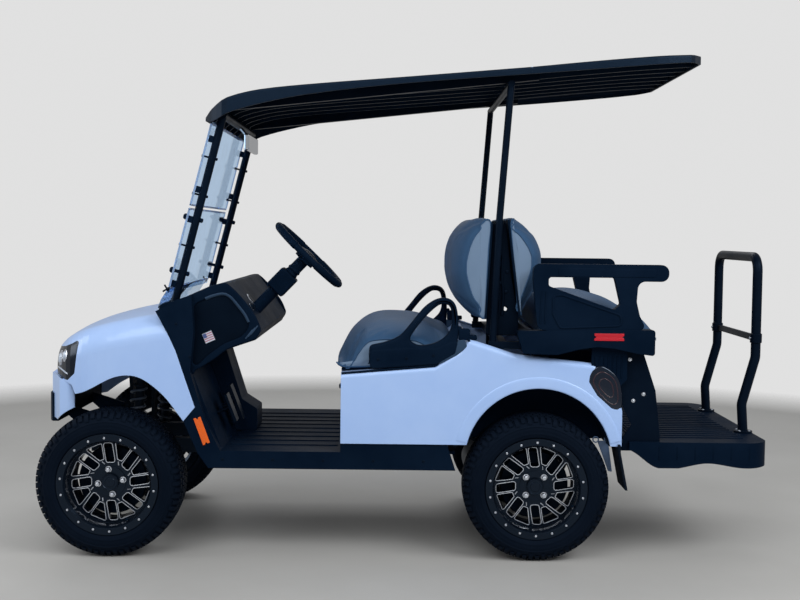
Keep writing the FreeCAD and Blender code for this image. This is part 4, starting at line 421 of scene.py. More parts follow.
def turns(count: int) -> list[float]:
    """Even angles round a circle."""
    return [2 * math.pi * step / count for step in range(count)]


def circle(middle: Flat, width: float, height: float, count: int) -> list[Flat]:
    """Points of an upright oval, from its half width and half height."""
    return [(middle[0] + width * math.cos(turn), middle[1] + height * math.sin(turn)) for turn in turns(count)]


def square_to(axis: Point) -> tuple[Vector, Vector, Vector]:
    """An axis at unit length and two directions square to it.

    Args:
        axis: a direction of any length.

    Returns:
        The axis and the two directions.
    """
    along = Vector(axis).normalized()
    side = along.orthogonal().normalized()
    return along, side, along.cross(side)


def ring(middle: Vector, side: Vector, other: Vector, radius: float, count: int) -> list[Vector]:
    """Points of a circle between two directions."""
    return [middle + (side * math.cos(turn) + other * math.sin(turn)) * radius for turn in turns(count)]


def lifted(points: list[Flat], y: float) -> list[Point]:
    """Points of the side view at one Y."""
    return [(x, y, z) for x, z in points]


def leaning(degrees: float) -> Matrix:
    """A rotation in the side view."""
    return Matrix.Rotation(math.radians(degrees), 3, "Y")


def curved(points: tuple | list, count: int, closed: bool = True) -> list[Flat]:
    """Evenly spaced points on a smooth curve.

    Args:
        points: what the curve goes through.
        count: how many points to return.
        closed: whether it comes back to its start.

    Returns:
        The points, without the first one repeated.
    """
    total = len(points)
    fine = 12
    dense = []
    for index in range(total if closed else total - 1):
        near = [points[(index + step) % total] if closed else points[min(max(index + step, 0), total - 1)]
                for step in (-1, 0, 1, 2)]
        for t in (part / fine for part in range(fine)):
            dense.append(tuple(
                0.5 * (2 * q + (r - p) * t + (2 * p - 5 * q + 4 * r - s) * t ** 2 + (3 * q - p - 3 * r + s) * t ** 3)
                for p, q, r, s in zip(*near)))
    dense.append(points[0] if closed else points[-1])
    reach = [0.0]
    for here, there in zip(dense, dense[1:]):
        reach.append(reach[-1] + math.dist(here, there))
    result = []
    spot = 0
    for index in range(count):
        goal = reach[-1] * index / (count if closed else count - 1)
        while spot < len(reach) - 2 and reach[spot + 1] < goal:
            spot += 1
        share = min((goal - reach[spot]) / max(reach[spot + 1] - reach[spot], TINY), 1.0)
        result.append(tuple(a + (b - a) * share for a, b in zip(dense[spot], dense[spot + 1])))
    return result


def rounded(corners: tuple | list, radius: float, steps: int = 6) -> list[Flat]:
    """A closed outline with rounded corners.

    Args:
        corners: its corners.
        radius: of the rounding, cut down where a side is short.
        steps: facets of each corner.

    Returns:
        The outline's points.
    """
    straight, most = 0.02, 0.48
    result = []
    for index, corner in enumerate(corners):
        here = Vector(corner)
        before, after = Vector(corners[index - 1]) - here, Vector(corners[(index + 1) % len(corners)]) - here
        half = before.angle(after) / 2
        if abs(half - math.pi / 2) < straight:
            result.append(tuple(here))
            continue
        reach = min(radius / math.tan(half), most * before.length, most * after.length)
        start, end = here + before.normalized() * reach, here + after.normalized() * reach
        for share in (step / steps for step in range(steps + 1)):
            result.append(tuple(start.lerp(here, share).lerp(here.lerp(end, share), share)))
    return result


def spread(shares: tuple, start: Flat, size: Flat) -> list[Flat]:
    """Outline points from shares of a length and a height."""
    return [(start[0] + along * size[0], start[1] + up * size[1]) for along, up in shares]


def outward(points: list[Flat]) -> list[Flat]:
    """Unit normals of a closed outline, pointing out of it.

    Args:
        points: the outline's corners.

    Returns:
        A normal for each corner.
    """
    area = sum(a[0] * b[1] - b[0] * a[1] for a, b in zip(points, points[1:] + points[:1]))
    result = []
    for before, after in zip(points[-1:] + points[:-1], points[1:] + points[:1]):
        along = (after[0] - before[0], after[1] - before[1])
        size = math.copysign(max(math.hypot(*along), TINY), area)
        result.append((along[1] / size, -along[0] / size))
    return result


class Shape:
    """A mesh that grows by rings, tubes, lathed forms and slabs, in metres."""

    def __init__(self) -> None:
        """Start empty."""
        self.mesh = bmesh.new()

    def skin(self, rings: list[list[Point]], loop: bool = True, caps: bool = True, back: bool = False) -> None:
        """Join rings of equal length into a surface.

        Args:
            rings: the rings in order.
            loop: whether each ring is closed.
            caps: whether the first and last ring are filled.
            back: whether the last ring joins the first.
        """
        made = [[self.mesh.verts.new(point) for point in row] for row in rings]
        for one, two in list(zip(made, made[1:])) + ([(made[-1], made[0])] if back else []):
            size = len(one)
            for index in range(size if loop else size - 1):
                after = (index + 1) % size
                self.mesh.faces.new((one[index], one[after], two[after], two[index]))
        if caps and not back:
            self.mesh.faces.new(made[0])
            self.mesh.faces.new(made[-1])

    def tube(self, path: list[Point], radius: float, sides: int = 12, closed: bool = False,
             squash: float = 1.0) -> None:
        """Sweep a round section along a path.

        Args:
            path: its middle line.
            radius: half its width.
            sides: corners of the section.
            closed: whether the path is a loop.
            squash: depth of the section over its width.
        """
        points = [Vector(point) for point in path]
        total = len(points)
        side = None
        rings = []
        for index, point in enumerate(points):
            before = points[index - 1] if closed or index else point
            after = points[(index + 1) % total] if closed or index < total - 1 else point
            ahead = (after - before).normalized()
            side = side or ahead.orthogonal().normalized()
            side = (side - ahead * side.dot(ahead)).normalized()
            rings.append(ring(point, side, ahead.cross(side) * squash, radius, sides))
        self.skin(rings, back=closed)

    def lathe(self, profile: list[Flat], centre: Point = (0, 0, 0), axis: Point = LEFTWARD, steps: int = 96) -> None:
        """Turn a closed profile about an axis.

        Args:
            profile: pairs of radius and place along the axis.
            centre: a point on the axis.
            axis: its direction.
            steps: divisions of the turn.
        """
        along, side, other = square_to(axis)
        self.skin([[Vector(centre) + out * radius + along * place for radius, place in profile]
                   for out in ring(Vector(), side, other, 1.0, steps)], back=True)

    def stud(self, place: Point, axis: Point, radius: float, height: float, sides: int = 12,
             dome: float = 0.35) -> None:
        """A bolt head or pin end.

        Args:
            place: the middle of its foot.
            axis: where it points.
            radius: half its width.
            height: how far it stands out.
            sides: 6 for a hexagon.
            dome: the share of its height that is rounded.
        """
        along, side, other = square_to(axis)
        self.skin([ring(Vector(place) + along * height * rise, side, other, radius * share, sides)
                   for share, rise in ((1.0, 0.0), (1.0, 1.0 - dome), (0.86, 1.0 - dome * 0.35), (0.55, 1.0))])

    def screws(self, met: list[tuple[Vector, Vector]], sink: float, radius: float, height: float,
               sides: int, dome: float) -> None:
        """Studs that stand square on a skin.

        Args:
            met: points of the skin with their normals.
            sink: how deep their feet are.
            radius: half their width.
            height: how far they stand out of their feet.
            sides: corners of their outline.
            dome: the share of their height that is rounded.
        """
        for place, normal in met:
            self.stud(place - normal * sink, normal, radius, height, sides, dome)

    def slab(self, centre: Point, size: Point, edge: float = 0.0, turn: Matrix | None = None) -> None:
        """A block with rounded edges.

        Args:
            centre: its middle.
            size: its length, width and height.
            edge: the radius of its edges.
            turn: a rotation, or nothing.
        """
        block = bmesh.new()
        bmesh.ops.create_cube(block, size=1.0)
        bmesh.ops.scale(block, vec=size, verts=block.verts)
        if edge:
            bmesh.ops.bevel(block, geom=block.edges[:], offset=edge, segments=3, profile=0.5, affect="EDGES",
                            clamp_overlap=True)
        where = Matrix.Translation(centre) @ (turn.to_4x4() if turn else Matrix.Identity(4))
        bmesh.ops.transform(block, matrix=where, verts=block.verts)
        self.take(block)

    def take(self, other: bmesh.types.BMesh) -> None:
        """Copy another mesh in.

        Args:
            other: the mesh, which is freed.
        """
        spare = bpy.data.meshes.new("spare")
        other.to_mesh(spare)
        other.free()
        self.mesh.from_mesh(spare)
        bpy.data.meshes.remove(spare)

    def plaque(self, outline: list[Flat], span: Flat, edge: float, holes: tuple = (), segments: int = 3) -> None:
        """A flat upright plate with rounded edges and holes.

        Args:
            outline: its corners in the side view.
            span: its two faces, as Y.
            edge: the radius of its edges.
            holes: outlines of its holes.
            segments: facets across each rounding.
        """
        curve = bpy.data.curves.new("spare", "CURVE")
        curve.dimensions = "2D"
        curve.fill_mode = "BOTH"
        middle, half = (span[0] + span[1]) / 2, abs(span[1] - span[0]) / 2
        edge = min(edge, half)
        curve.extrude = half - edge
        curve.bevel_depth = edge
        curve.bevel_resolution = segments - 1
        curve.offset = -edge
        for line in (outline, *holes):
            spline = curve.splines.new("POLY")
            spline.points.add(len(line) - 1)
            for point, place in zip(spline.points, line):
                point.co = (*place, 0.0, 1.0)
            spline.use_cyclic_u = True
        holder = bpy.data.objects.new("spare", curve)
        flat = bpy.data.meshes.new_from_object(holder)
        plate = bmesh.new()
        plate.from_mesh(flat)
        bmesh.ops.remove_doubles(plate, verts=plate.verts, dist=1e-6)
        for vert in plate.verts:
            vert.co = (vert.co.x, vert.co.z + middle, vert.co.y)
        bpy.data.objects.remove(holder)
        bpy.data.curves.remove(curve)
        bpy.data.meshes.remove(flat)
        self.take(plate)

    def twin(self) -> "Shape":
        """Add the same again on the other side of the cart.

        Returns:
            This shape.
        """
        copy = bmesh.ops.duplicate(self.mesh, geom=self.mesh.verts[:] + self.mesh.edges[:] + self.mesh.faces[:])
        verts = [item for item in copy["geom"] if isinstance(item, bmesh.types.BMVert)]
        bmesh.ops.scale(self.mesh, vec=(1, -1, 1), verts=verts)
        return self


class Probe:
    """Finds points on the skin of CAD nodes at rest."""

    def __init__(self, *names: str) -> None:
        """Args:
            names: the nodes to feel.
        """
        meshes = [frame["nodes"][name].data for name in names]
        self.trees = [BVHTree.FromPolygons([vert.co for vert in mesh.vertices],
                                           [face.vertices for face in mesh.polygons]) for mesh in meshes]

    def hit(self, start: Point, way: Point) -> list[tuple[Vector, Vector]]:
        """The first point of the skin along a line.

        Args:
            start: where the line starts.
            way: its direction.

        Returns:
            The point and the skin's normal there, as a list of one or none.
        """
        met = [found for found in (tree.ray_cast(Vector(start), Vector(way)) for tree in self.trees) if found[0]]
        if not met:
            return []
        place, normal, _, _ = min(met, key=lambda item: item[3])
        return [(place, normal if normal.dot(Vector(way)) < 0 else -normal)]

    def side(self, x: float, z: float) -> list[tuple[Vector, Vector]]:
        """The skin seen from the left."""
        return self.hit((x, 2.0, z), (0, -1, 0))

    def above(self, x: float, y: float) -> list[tuple[Vector, Vector]]:
        """The skin seen from above."""
        return self.hit((x, y, 3.0), (0, 0, -1))

    def ahead(self, y: float, z: float) -> list[tuple[Vector, Vector]]:
        """The skin seen from the front."""
        return self.hit((3.0, y, z), (-1, 0, 0))


@dataclass
class Workshop:
    """Turns shapes into dressed pieces that ride on the cart."""

    palette: dict[str, bpy.types.Material]

    def place(self, name: str, shape: Shape, finish: str, body: str = "chassis", slot: str = "",
              replaces: tuple = (), sharp: float = 38.0) -> bpy.types.Object:
        """Make the object.

        Args:
            name: its name.
            shape: its mesh, which is freed.
            finish: its material.
            body: the CAD body that it rides on.
            slot: the record's material slot, where its finish has another; not used.
            replaces: the CAD nodes that it stands for.
            sharp: edges bent by more degrees than this stay sharp.

        Returns:
            The object.
        """
        slot = slot or PIECE_SLOT[finish]
        mesh = bpy.data.meshes.new(name)
        bmesh.ops.recalc_face_normals(shape.mesh, faces=shape.mesh.faces)
        shape.mesh.to_mesh(mesh)
        shape.mesh.free()
        mesh.polygons.foreach_set("use_smooth", [True] * len(mesh.polygons))
        mesh.set_sharp_from_angle(angle=math.radians(sharp))
        mesh.materials.append(self.palette[finish])
        piece = bpy.data.objects.new(name, mesh)
        bpy.context.scene.collection.objects.link(piece)
        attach(piece, body)
        if replaces:
            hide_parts(*replaces)
        LOG.info("piece %s: %d faces", name, len(mesh.polygons))
        return piece

    def pair(self, name: str, shape: Shape, finish: str, **options: object) -> None:
        """Place a shape together with its twin on the right."""
        self.place(name, shape.twin(), finish, **options)


@dataclass
class Assembly:
    """A part of the cart that is made in one shop."""

    shop: Workshop


# Wheels


def on_wheel(radius: float, turn: float, place: float) -> Point:
    """A point of a wheel from its radius, its angle and its place across."""
    return (radius * math.sin(turn), place, radius * math.cos(turn))


# Each axle's end, its X, and the degrees by which its wheel nuts and lip bolts are turned.
AXLES = (("front", 1.17125, 9.0, 3.0), ("rear", -0.52875, 45.0, 0.0))


@dataclass
class Wheel(Assembly):
    """Tyre, bolts, nuts, cap, milled edges and brake drum of one wheel."""

    end: str
    side: Side
    centre_x: float
    lug_turn: float
    bolt_turn: float
    centre_y: float = 0.515
    centre_z: float = 0.292
    face: float = 0.030
    lip_face: float = 0.097
    flank: tuple = (
        (0.176, 0.084), (0.2008, 0.0855), (0.2035, 0.0915), (0.2065, 0.0968), (0.2120, 0.0995), (0.2195, 0.1010),
        (0.2215, 0.1020), (0.2235, 0.1020), (0.2255, 0.1012), (0.2330, 0.1022), (0.2395, 0.1024), (0.2415, 0.1018),
        (0.2470, 0.1012), (0.2485, 0.1020), (0.2500, 0.1020), (0.2515, 0.1006), (0.2570, 0.0988), (0.2630, 0.0955),
        (0.2690, 0.0910), (0.2745, 0.0850), (0.2790, 0.0780), (0.2815, 0.0700), (0.2828, 0.0500), (0.2835, 0.0250))
    crown: Flat = (0.2838, 0.0)
    lining: tuple = ((0.2700, 0.0600), (0.2500, 0.0850), (0.2200, 0.0860), (0.1900, 0.0700), (0.176, 0.0700))
    tread_pitches: int = 68
    block_rows: tuple = ((-0.0610, 0.0250, 0.5, 0.2890), (-0.0300, 0.0270, 0.0, 0.2912), (0.0, 0.0250, 0.5, 0.2918),
                         (0.0300, 0.0270, 0.0, 0.2912), (0.0610, 0.0250, 0.5, 0.2890))
    block_foot: float = 0.2815
    block_lean: float = 0.0035
    block_share: float = 0.80
    lug: tuple = ((0.2800, 0.0730), (0.2872, 0.0755), (0.2862, 0.0800), (0.2800, 0.0890), (0.2720, 0.0960),
                  (0.2640, 0.0998), (0.2600, 0.1000), (0.2600, 0.0940), (0.2700, 0.0850))
    lug_limit: Flat = (0.2680, 0.0960)
    lug_share: float = 0.62
    lug_shift: float = 0.25
    marks: tuple = ((8.0, 0.226), (16.0, 0.228))
    mark_face: float = 0.1012
    bolt_count: int = 18
    bolt_circle: float = 0.1865
    nut_circle: float = 0.0508
    nut: tuple = ((0.035, 0.0105, 0.0175, 6, 0.22), (0.034, 0.0128, 0.0025, 24, 0.35),
                  (0.052, 0.0060, 0.0022, 12, 0.35))
    window_pairs: int = 8
    window_outer: float = 0.155
    window_kinds: tuple = ((0.078, 0.017, 0.017, 0.0), (0.094, 0.0089, 0.0329, 0.5))
    swirl: float = 0.16
    strip_width: float = 0.0026
    strip_rise: float = 0.0007
    short_share: float = 0.42
    short_start: float = 0.0735
    short_length: float = 0.0145
    short_lean: float = 0.55
    corner_share: float = 0.6
    cap_profile: tuple = ((0.0335, 0.036), (0.0335, 0.0475), (0.0322, 0.0490), (0.0300, 0.0492), (0.0285, 0.0478),
                          (0.0200, 0.0475), (0.0185, 0.0490), (0.0100, 0.0494), (0.0005, 0.0495), (0.0005, 0.036))
    drum_radius: float = 0.138
    drum_bore: float = 0.030
    drum_back: float = -0.062
    drum_fins: int = 4
    fin_first: float = -0.054
    fin_pitch: float = 0.011
    fin_depth: float = 0.005
    valve_turn: float = 200.0
    valve_ends: tuple = ((0.168, 0.060), (0.158, 0.092))

    def build(self) -> None:
        """Make every piece of the wheel."""
        side = self.side.name.lower()
        tag = f"{self.end}_{side}"
        spins = f"wheel_{tag}"
        stays = f"knuckle_{side[0]}" if self.end == "front" else "chassis"
        plan = (
            ("tyre", self.tyre(), "tyre_rubber", spins, "tyre"),
            ("milled_edges", self.milled_edges(), "bright_alloy", spins, "wheel_alloy"),
            ("wheel_bolts", self.bolts(), "bright_alloy", spins, "wheel_alloy"),
            ("wheel_cap", self.turned(self.cap_profile, 48), "gloss_black", spins, "wheel_alloy"),
            ("valve_stem", self.valve(), "moulded_black", spins, "wheel_alloy"),
            ("brake_drum", self.drum(), "coated_steel", stays, "black_steel"),
        )
        for label, shape, finish, body, slot in plan:
            bmesh.ops.translate(shape.mesh, vec=(self.centre_x, self.centre_y, self.centre_z), verts=shape.mesh.verts)
            bmesh.ops.scale(shape.mesh, vec=(1, self.side.value, 1), verts=shape.mesh.verts)
            replaced = (f"tyre_{tag}",) if label == "tyre" else ()
            self.shop.place(f"{label}_{tag}", shape, finish, body, slot, replaced, sharp=32.0)

    def turned(self, profile: tuple | list, steps: int) -> Shape:
        """A form turned about the wheel's axle.

        Args:
            profile: its points as radius and place across the wheel.
            steps: facets round the axle.

        Returns:
            The form.
        """
        shape = Shape()
        shape.lathe(profile, steps=steps)
        return shape

    def tyre(self) -> Shape:
        """Carcass with raised sidewall rings, tread blocks and shoulder lugs.

        Returns:
            The tyre.
        """
        other = [(radius, -place) for radius, place in reversed(self.flank)]
        inner = [(radius, -place) for radius, place in reversed(self.lining)]
        shape = self.turned([*self.flank, self.crown, *other, *inner, *self.lining], 144)
        self.tread(shape)
        for degrees, radius in self.marks:
            shape.stud(on_wheel(radius, math.radians(degrees), self.mark_face), LEFTWARD, radius=0.0042, height=0.0012)
        return shape

    def tread(self, shape: Shape) -> None:
        """Cut-looking tread: five rows of blocks and two rows of shoulder lugs.

        Args:
            shape: the tyre's mesh.
        """
        pitch = 2 * math.pi / self.tread_pitches
        edge, fall = 0.0015, 0.0006
        for index in range(self.tread_pitches):
            for row, (middle, width, offset, top) in enumerate(self.block_rows):
                low, high = middle - width / 2, middle + width / 2
                block = [(self.block_foot, low), (top - fall, low), (top, low + edge), (top, high - edge),
                         (top - fall, high), (self.block_foot, high)]
                self.wedge(shape, (index + offset) * pitch, pitch * self.block_share, block,
                           self.block_lean if row % 2 else -self.block_lean)
            for sign in (-1, 1):
                lug = self.lug if index % 2 else [(max(radius, self.lug_limit[0]), min(place, self.lug_limit[1]))
                                                  for radius, place in self.lug]
                self.wedge(shape, (index + self.lug_shift * sign) * pitch, pitch * self.lug_share,
                           [(radius, sign * place) for radius, place in lug], 0.0)

    def wedge(self, shape: Shape, turn: float, width: float, section: list[Flat], lean: float) -> None:
        """One tread block.

        Args:
            shape: the tyre's mesh.
            turn: where it is round the tyre, in radians.
            width: its angle.
            section: its outline as radius and place across the tyre.
            lean: how far its ends are skewed round the tyre.
        """
        places = [place for _, place in section]
        low, size = min(places), max(places) - min(places)
        shape.skin([[on_wheel(radius, turn + share * width + lean * ((place - low) / size - 0.5) / radius, place)
                     for radius, place in section] for share in (-0.5, 0.5)])

    def windows(self) -> list[list[Flat]]:
        """Outlines of the openings between the spokes, in the wheel's plane.

        Returns:
            The outlines.
        """
        outlines = []
        for index in range(self.window_pairs):
            for inner, inner_half, outer_half, offset in self.window_kinds:
                lean = self.swirl * (self.window_outer - inner)
                corners = [(-inner_half, inner), (inner_half, inner), (outer_half + lean, self.window_outer),
                           (lean - outer_half, self.window_outer)]
                turn = (index + offset) * (2 * math.pi / self.window_pairs)
                outlines.append([(u * math.cos(turn) + v * math.sin(turn), v * math.cos(turn) - u * math.sin(turn))
                                 for u, v in rounded(corners, inner_half * self.corner_share)])
        return outlines

    def milled_edges(self) -> Shape:
        """Bright milled bands round the openings, and short ones near the hub.

        Returns:
            The bands.
        """
        shape = Shape()
        low, wide = self.strip_rise * 0.4, self.strip_width
        band = ((0.0, -0.004), (0.0, low), (wide * 0.5, self.strip_rise), (wide, low), (wide, -0.001))
        for outline in self.windows():
            normals = outward(outline)
            shape.skin([[(x + nx * offset, self.face + rise, z + nz * offset)
                         for (x, z), (nx, nz) in zip(outline, normals)] for offset, rise in band], caps=False)
        for index in range(self.window_pairs):
            turn = (index + self.short_share) * (2 * math.pi / self.window_pairs)
            start = Vector(on_wheel(self.short_start, turn, self.face))
            end = start + Vector(on_wheel(self.short_length, turn + self.short_lean, 0.0))
            shape.tube([start, (start + end) / 2, end], radius=0.0030, sides=10, squash=0.5)
        return shape

    def bolts(self) -> Shape:
        """Silver bolts round the lip and the four wheel nuts.

        Returns:
            The bolts and nuts.
        """
        shape = Shape()
        for turn in turns(self.bolt_count):
            place = on_wheel(self.bolt_circle, math.radians(self.bolt_turn) + turn, self.lip_face)
            shape.stud(place, LEFTWARD, radius=0.0048, height=0.0042, dome=0.5)
        for index in range(4):
            turn = math.radians(self.lug_turn + index * 90)
            for place, *sizes in self.nut:
                shape.stud(on_wheel(self.nut_circle, turn, place), LEFTWARD, *sizes)
        return shape

    def drum(self) -> Shape:
        """Finned brake drum, which stands behind the spokes and doesn't turn with them.

        Returns:
            The drum.
        """
        radius, bore, back, depth = self.drum_radius, self.drum_bore, self.drum_back, self.fin_depth
        profile = [(bore, back), (radius - 0.006, back), (radius, -0.058)]
        for fin in range(self.drum_fins):
            place = self.fin_first + self.fin_pitch * fin
            profile += [(radius, place), (radius - depth, place + 0.002), (radius - depth, place + 0.006),
                        (radius, place + 0.008)]
        profile += [(radius, -0.012), (radius - 0.004, -0.007), (radius * 0.62, -0.006), (radius * 0.58, -0.010),
                    (bore, -0.010)]
        return self.turned(profile, 96)

    def valve(self) -> Shape:
        """Valve stem on the lip's inside.

        Returns:
            The stem.
        """
        shape = Shape()
        turn = math.radians(self.lug_turn + self.valve_turn)
        foot, tip = (Vector(on_wheel(radius, turn, place)) for radius, place in self.valve_ends)
        shape.tube([foot, (foot + tip) / 2, tip], radius=0.0038, sides=10)
        return shape


# Details on the CAD skin


@dataclass
class SideArms(Assembly):
    """Moulded hip restraints beside the front seat, and the brackets behind them."""

    start: Flat = (0.140, 0.783)
    size: Flat = (-0.353, 0.260)
    inner: float = 0.5465
    outer: float = 0.5800
    shares: tuple = (
        (0.0, 0.22), (0.0, 0.04), (0.05, -0.02), (0.77, 0.06), (0.96, 0.2), (1.0, 0.53), (0.975, 0.86),
        (0.90, 0.99), (0.77, 1.0), (0.618, 0.873), (0.465, 0.62), (0.34, 0.43), (0.178, 0.33), (0.03, 0.28))
    hole_shares: tuple = (
        (0.462, 0.40), (0.52, 0.30), (0.64, 0.29), (0.79, 0.358), (0.9, 0.51), (0.925, 0.70),
        (0.90, 0.87), (0.84, 0.91), (0.76, 0.88), (0.62, 0.70))
    foot_shares: tuple = (
        (0.0, 0.20), (0.01, -0.09), (0.40, -0.05), (0.76, -0.01), (0.97, 0.16), (1.0, 0.36), (0.90, 0.33), (0.76, 0.24),
        (0.40, 0.24))
    screw_shares: tuple = ((0.10, 0.06), (0.42, 0.08), (0.72, 0.13))
    wedge: tuple = ((-0.133, 0.7885), (-0.2024, 0.8486), (-0.2107, 0.8777), (-0.2372, 0.8807),
                    (-0.2491, 0.8519), (-0.2060, 0.8164), (-0.1422, 0.7834))
    clips: tuple = (((-0.236, 0.560, 0.9005), (0.046, 0.026, 0.046), 0.006),
                    ((-0.216, 0.560, 0.9220), (0.020, 0.020, 0.022), 0.005),
                    ((-0.262, 0.557, 0.8880), (0.050, 0.022, 0.020), 0.005))

    def build(self) -> None:
        """Make the restraints, with their screws, brackets and clips."""
        loop, screws, brackets, clips = Shape(), Shape(), Shape(), Shape()
        hole = curved(spread(self.hole_shares, self.start, self.size), 48)
        outline = curved(spread(self.shares, self.start, self.size), 96)
        loop.plaque(outline, (self.inner, self.outer), edge=0.015, holes=(hole,), segments=5)
        foot = rounded(spread(self.foot_shares, self.start, self.size), radius=0.020)
        loop.plaque(foot, (self.inner - 0.004, self.outer + 0.0015), edge=0.006, segments=4)
        self.shop.pair("hip_loops", loop, "moulded_black", replaces=("hip_restraints",), sharp=50.0)
        for place in lifted(spread(self.screw_shares, self.start, self.size), self.outer + 0.001):
            screws.stud(place, LEFTWARD, radius=0.0058, height=0.0026, sides=16)
        self.shop.pair("hip_screws", screws, "coated_steel")
        brackets.plaque(rounded(self.wedge, radius=0.006), (0.556, 0.5795), edge=0.003)
        self.shop.pair("hip_brackets", brackets, "slate_plastic")
        for centre, size, edge in self.clips:
            clips.slab(centre, size, edge)
        self.shop.pair("hip_clips", clips, "moulded_black")


@dataclass
class Dash(Assembly):
    """Side cheeks of the dashboard, with their bay, rim, vents and sticker, and its switches."""

    face: float = 0.530
    rise: float = 0.0085
    outline: tuple = (
        (0.9808, 0.9785), (0.9030, 1.0227), (0.8400, 1.0500), (0.7810, 1.0770), (0.7270, 1.0921), (0.6980, 1.0830),
        (0.6500, 1.0350), (0.6000, 0.9700), (0.5760, 0.9190), (0.5743, 0.9040), (0.5850, 0.8830), (0.6100, 0.8640),
        (0.7050, 0.8290), (0.7600, 0.7880), (0.8300, 0.7450), (0.8600, 0.7440))
    bay: tuple = (
        (0.8450, 0.9900), (0.8050, 1.0230), (0.7600, 1.0420), (0.7230, 1.0480), (0.6950, 1.0350), (0.6650, 1.0010),
        (0.6400, 0.9690), (0.6230, 0.9370), (0.6300, 0.9050), (0.6600, 0.8760), (0.7200, 0.8500), (0.7800, 0.8080),
        (0.8400, 0.7650), (0.8620, 0.8700))
    rim: tuple = ((0.7950, 1.0290), (0.7600, 1.0425), (0.7230, 1.0485), (0.6950, 1.0355), (0.6650, 1.0015),
                  (0.6400, 0.9695), (0.6230, 0.9375))
    vents: int = 3
    vent_lean: float = 52.0
    vent_first: Flat = (0.6000, 0.9060)
    vent_pitch: Flat = (0.0105, 0.0085)
    vent_size: Point = (0.046, 0.006, 0.0052)
    sticker: Flat = (0.7830, 0.8760)
    sticker_side: float = 0.040
    sticker_lean: float = 24.0
    sheet: float = 0.0012
    knobs: tuple = ((0.400, 0.990, 0.013, 0.012), (0.130, 0.990, 0.011, 0.014), (0.090, 0.990, 0.011, 0.010),
                    (0.270, 1.010, 0.026, 0.004))

    def build(self) -> None:
        """Make the cheeks and what sits on them."""
        cheek, lining, rim = Shape(), Shape(), Shape()
        bay = curved(self.bay, 80)
        span = (self.face - 0.010, self.face + self.rise)
        cheek.plaque(curved(self.outline, 120), span, edge=0.0055, holes=(bay,), segments=4)
        self.shop.pair("dash_cheeks", cheek, "moulded_black", sharp=50.0)
        lining.plaque(bay, (self.face - 0.008, self.face + 0.0012), edge=0.001)
        self.shop.pair("dash_bays", lining, "smooth_black")
        # The rim is a real raised lip, but its lighter slate colour is a painted highlight: it stands in for the light
        # falling on the bay's upper edge
        rim.tube(lifted(curved(self.rim, 48, closed=False), self.face + self.rise - 0.003), radius=0.0075, squash=0.55)
        for index in range(self.vents):
            x, z = self.vent_first[0] + index * self.vent_pitch[0], self.vent_first[1] - index * self.vent_pitch[1]
            rim.slab((x, self.face + self.rise - 0.001, z), self.vent_size, edge=0.0015, turn=leaning(self.vent_lean))
        self.shop.pair("dash_rims", rim, "slate_plastic")
        self.stickers()
        self.switches()

    def stickers(self) -> None:
        """A plain striped sticker in each bay."""
        turn, side = leaning(self.sticker_lean), self.sticker_side
        middle = Vector((self.sticker[0], self.face + 0.0016, self.sticker[1]))
        bands = [(-0.12, 0.34, 0.72), (-0.12, 0.12, 0.72), (0.0, -0.10, 0.96), (0.0, -0.32, 0.96)]
        plan = (("dash_stickers", "sticker_pale", 0.0, [(0.0, 0.0, 1.0, 1.0)]),
                ("dash_sticker_bands", "sticker_rose", 0.0004, [(*band, 0.10) for band in bands]),
                ("dash_sticker_corners", "sticker_blue", 0.0008, [(0.30, 0.24, 0.36, 0.44)]))
        for name, finish, lift, slabs in plan:
            shape = Shape()
            for along, up, width, height in slabs:
                place = middle + turn @ Vector((along * side, 0, up * side)) + Vector((0, lift, 0))
                shape.slab(place, (width * side, self.sheet, height * side), turn=turn)
            self.shop.pair(name, shape, finish)

    def switches(self) -> None:
        """Key switch, light switch and charge gauge on the driver's side of the dash."""
        probe = Probe("dashboard")
        knobs, rings = Shape(), Shape()
        for y, z, radius, height in self.knobs:
            met = probe.hit((0.0, y, z), FORWARD)
            knobs.screws(met, sink=0.001, radius=radius, height=height, sides=32, dome=0.3)
            rings.screws(met, sink=0.001, radius=radius * 1.3, height=0.0022, sides=32, dome=0.4)
        self.shop.place("dash_switches", knobs, "smooth_black")
        self.shop.place("dash_switch_rings", rings, "bright_alloy")


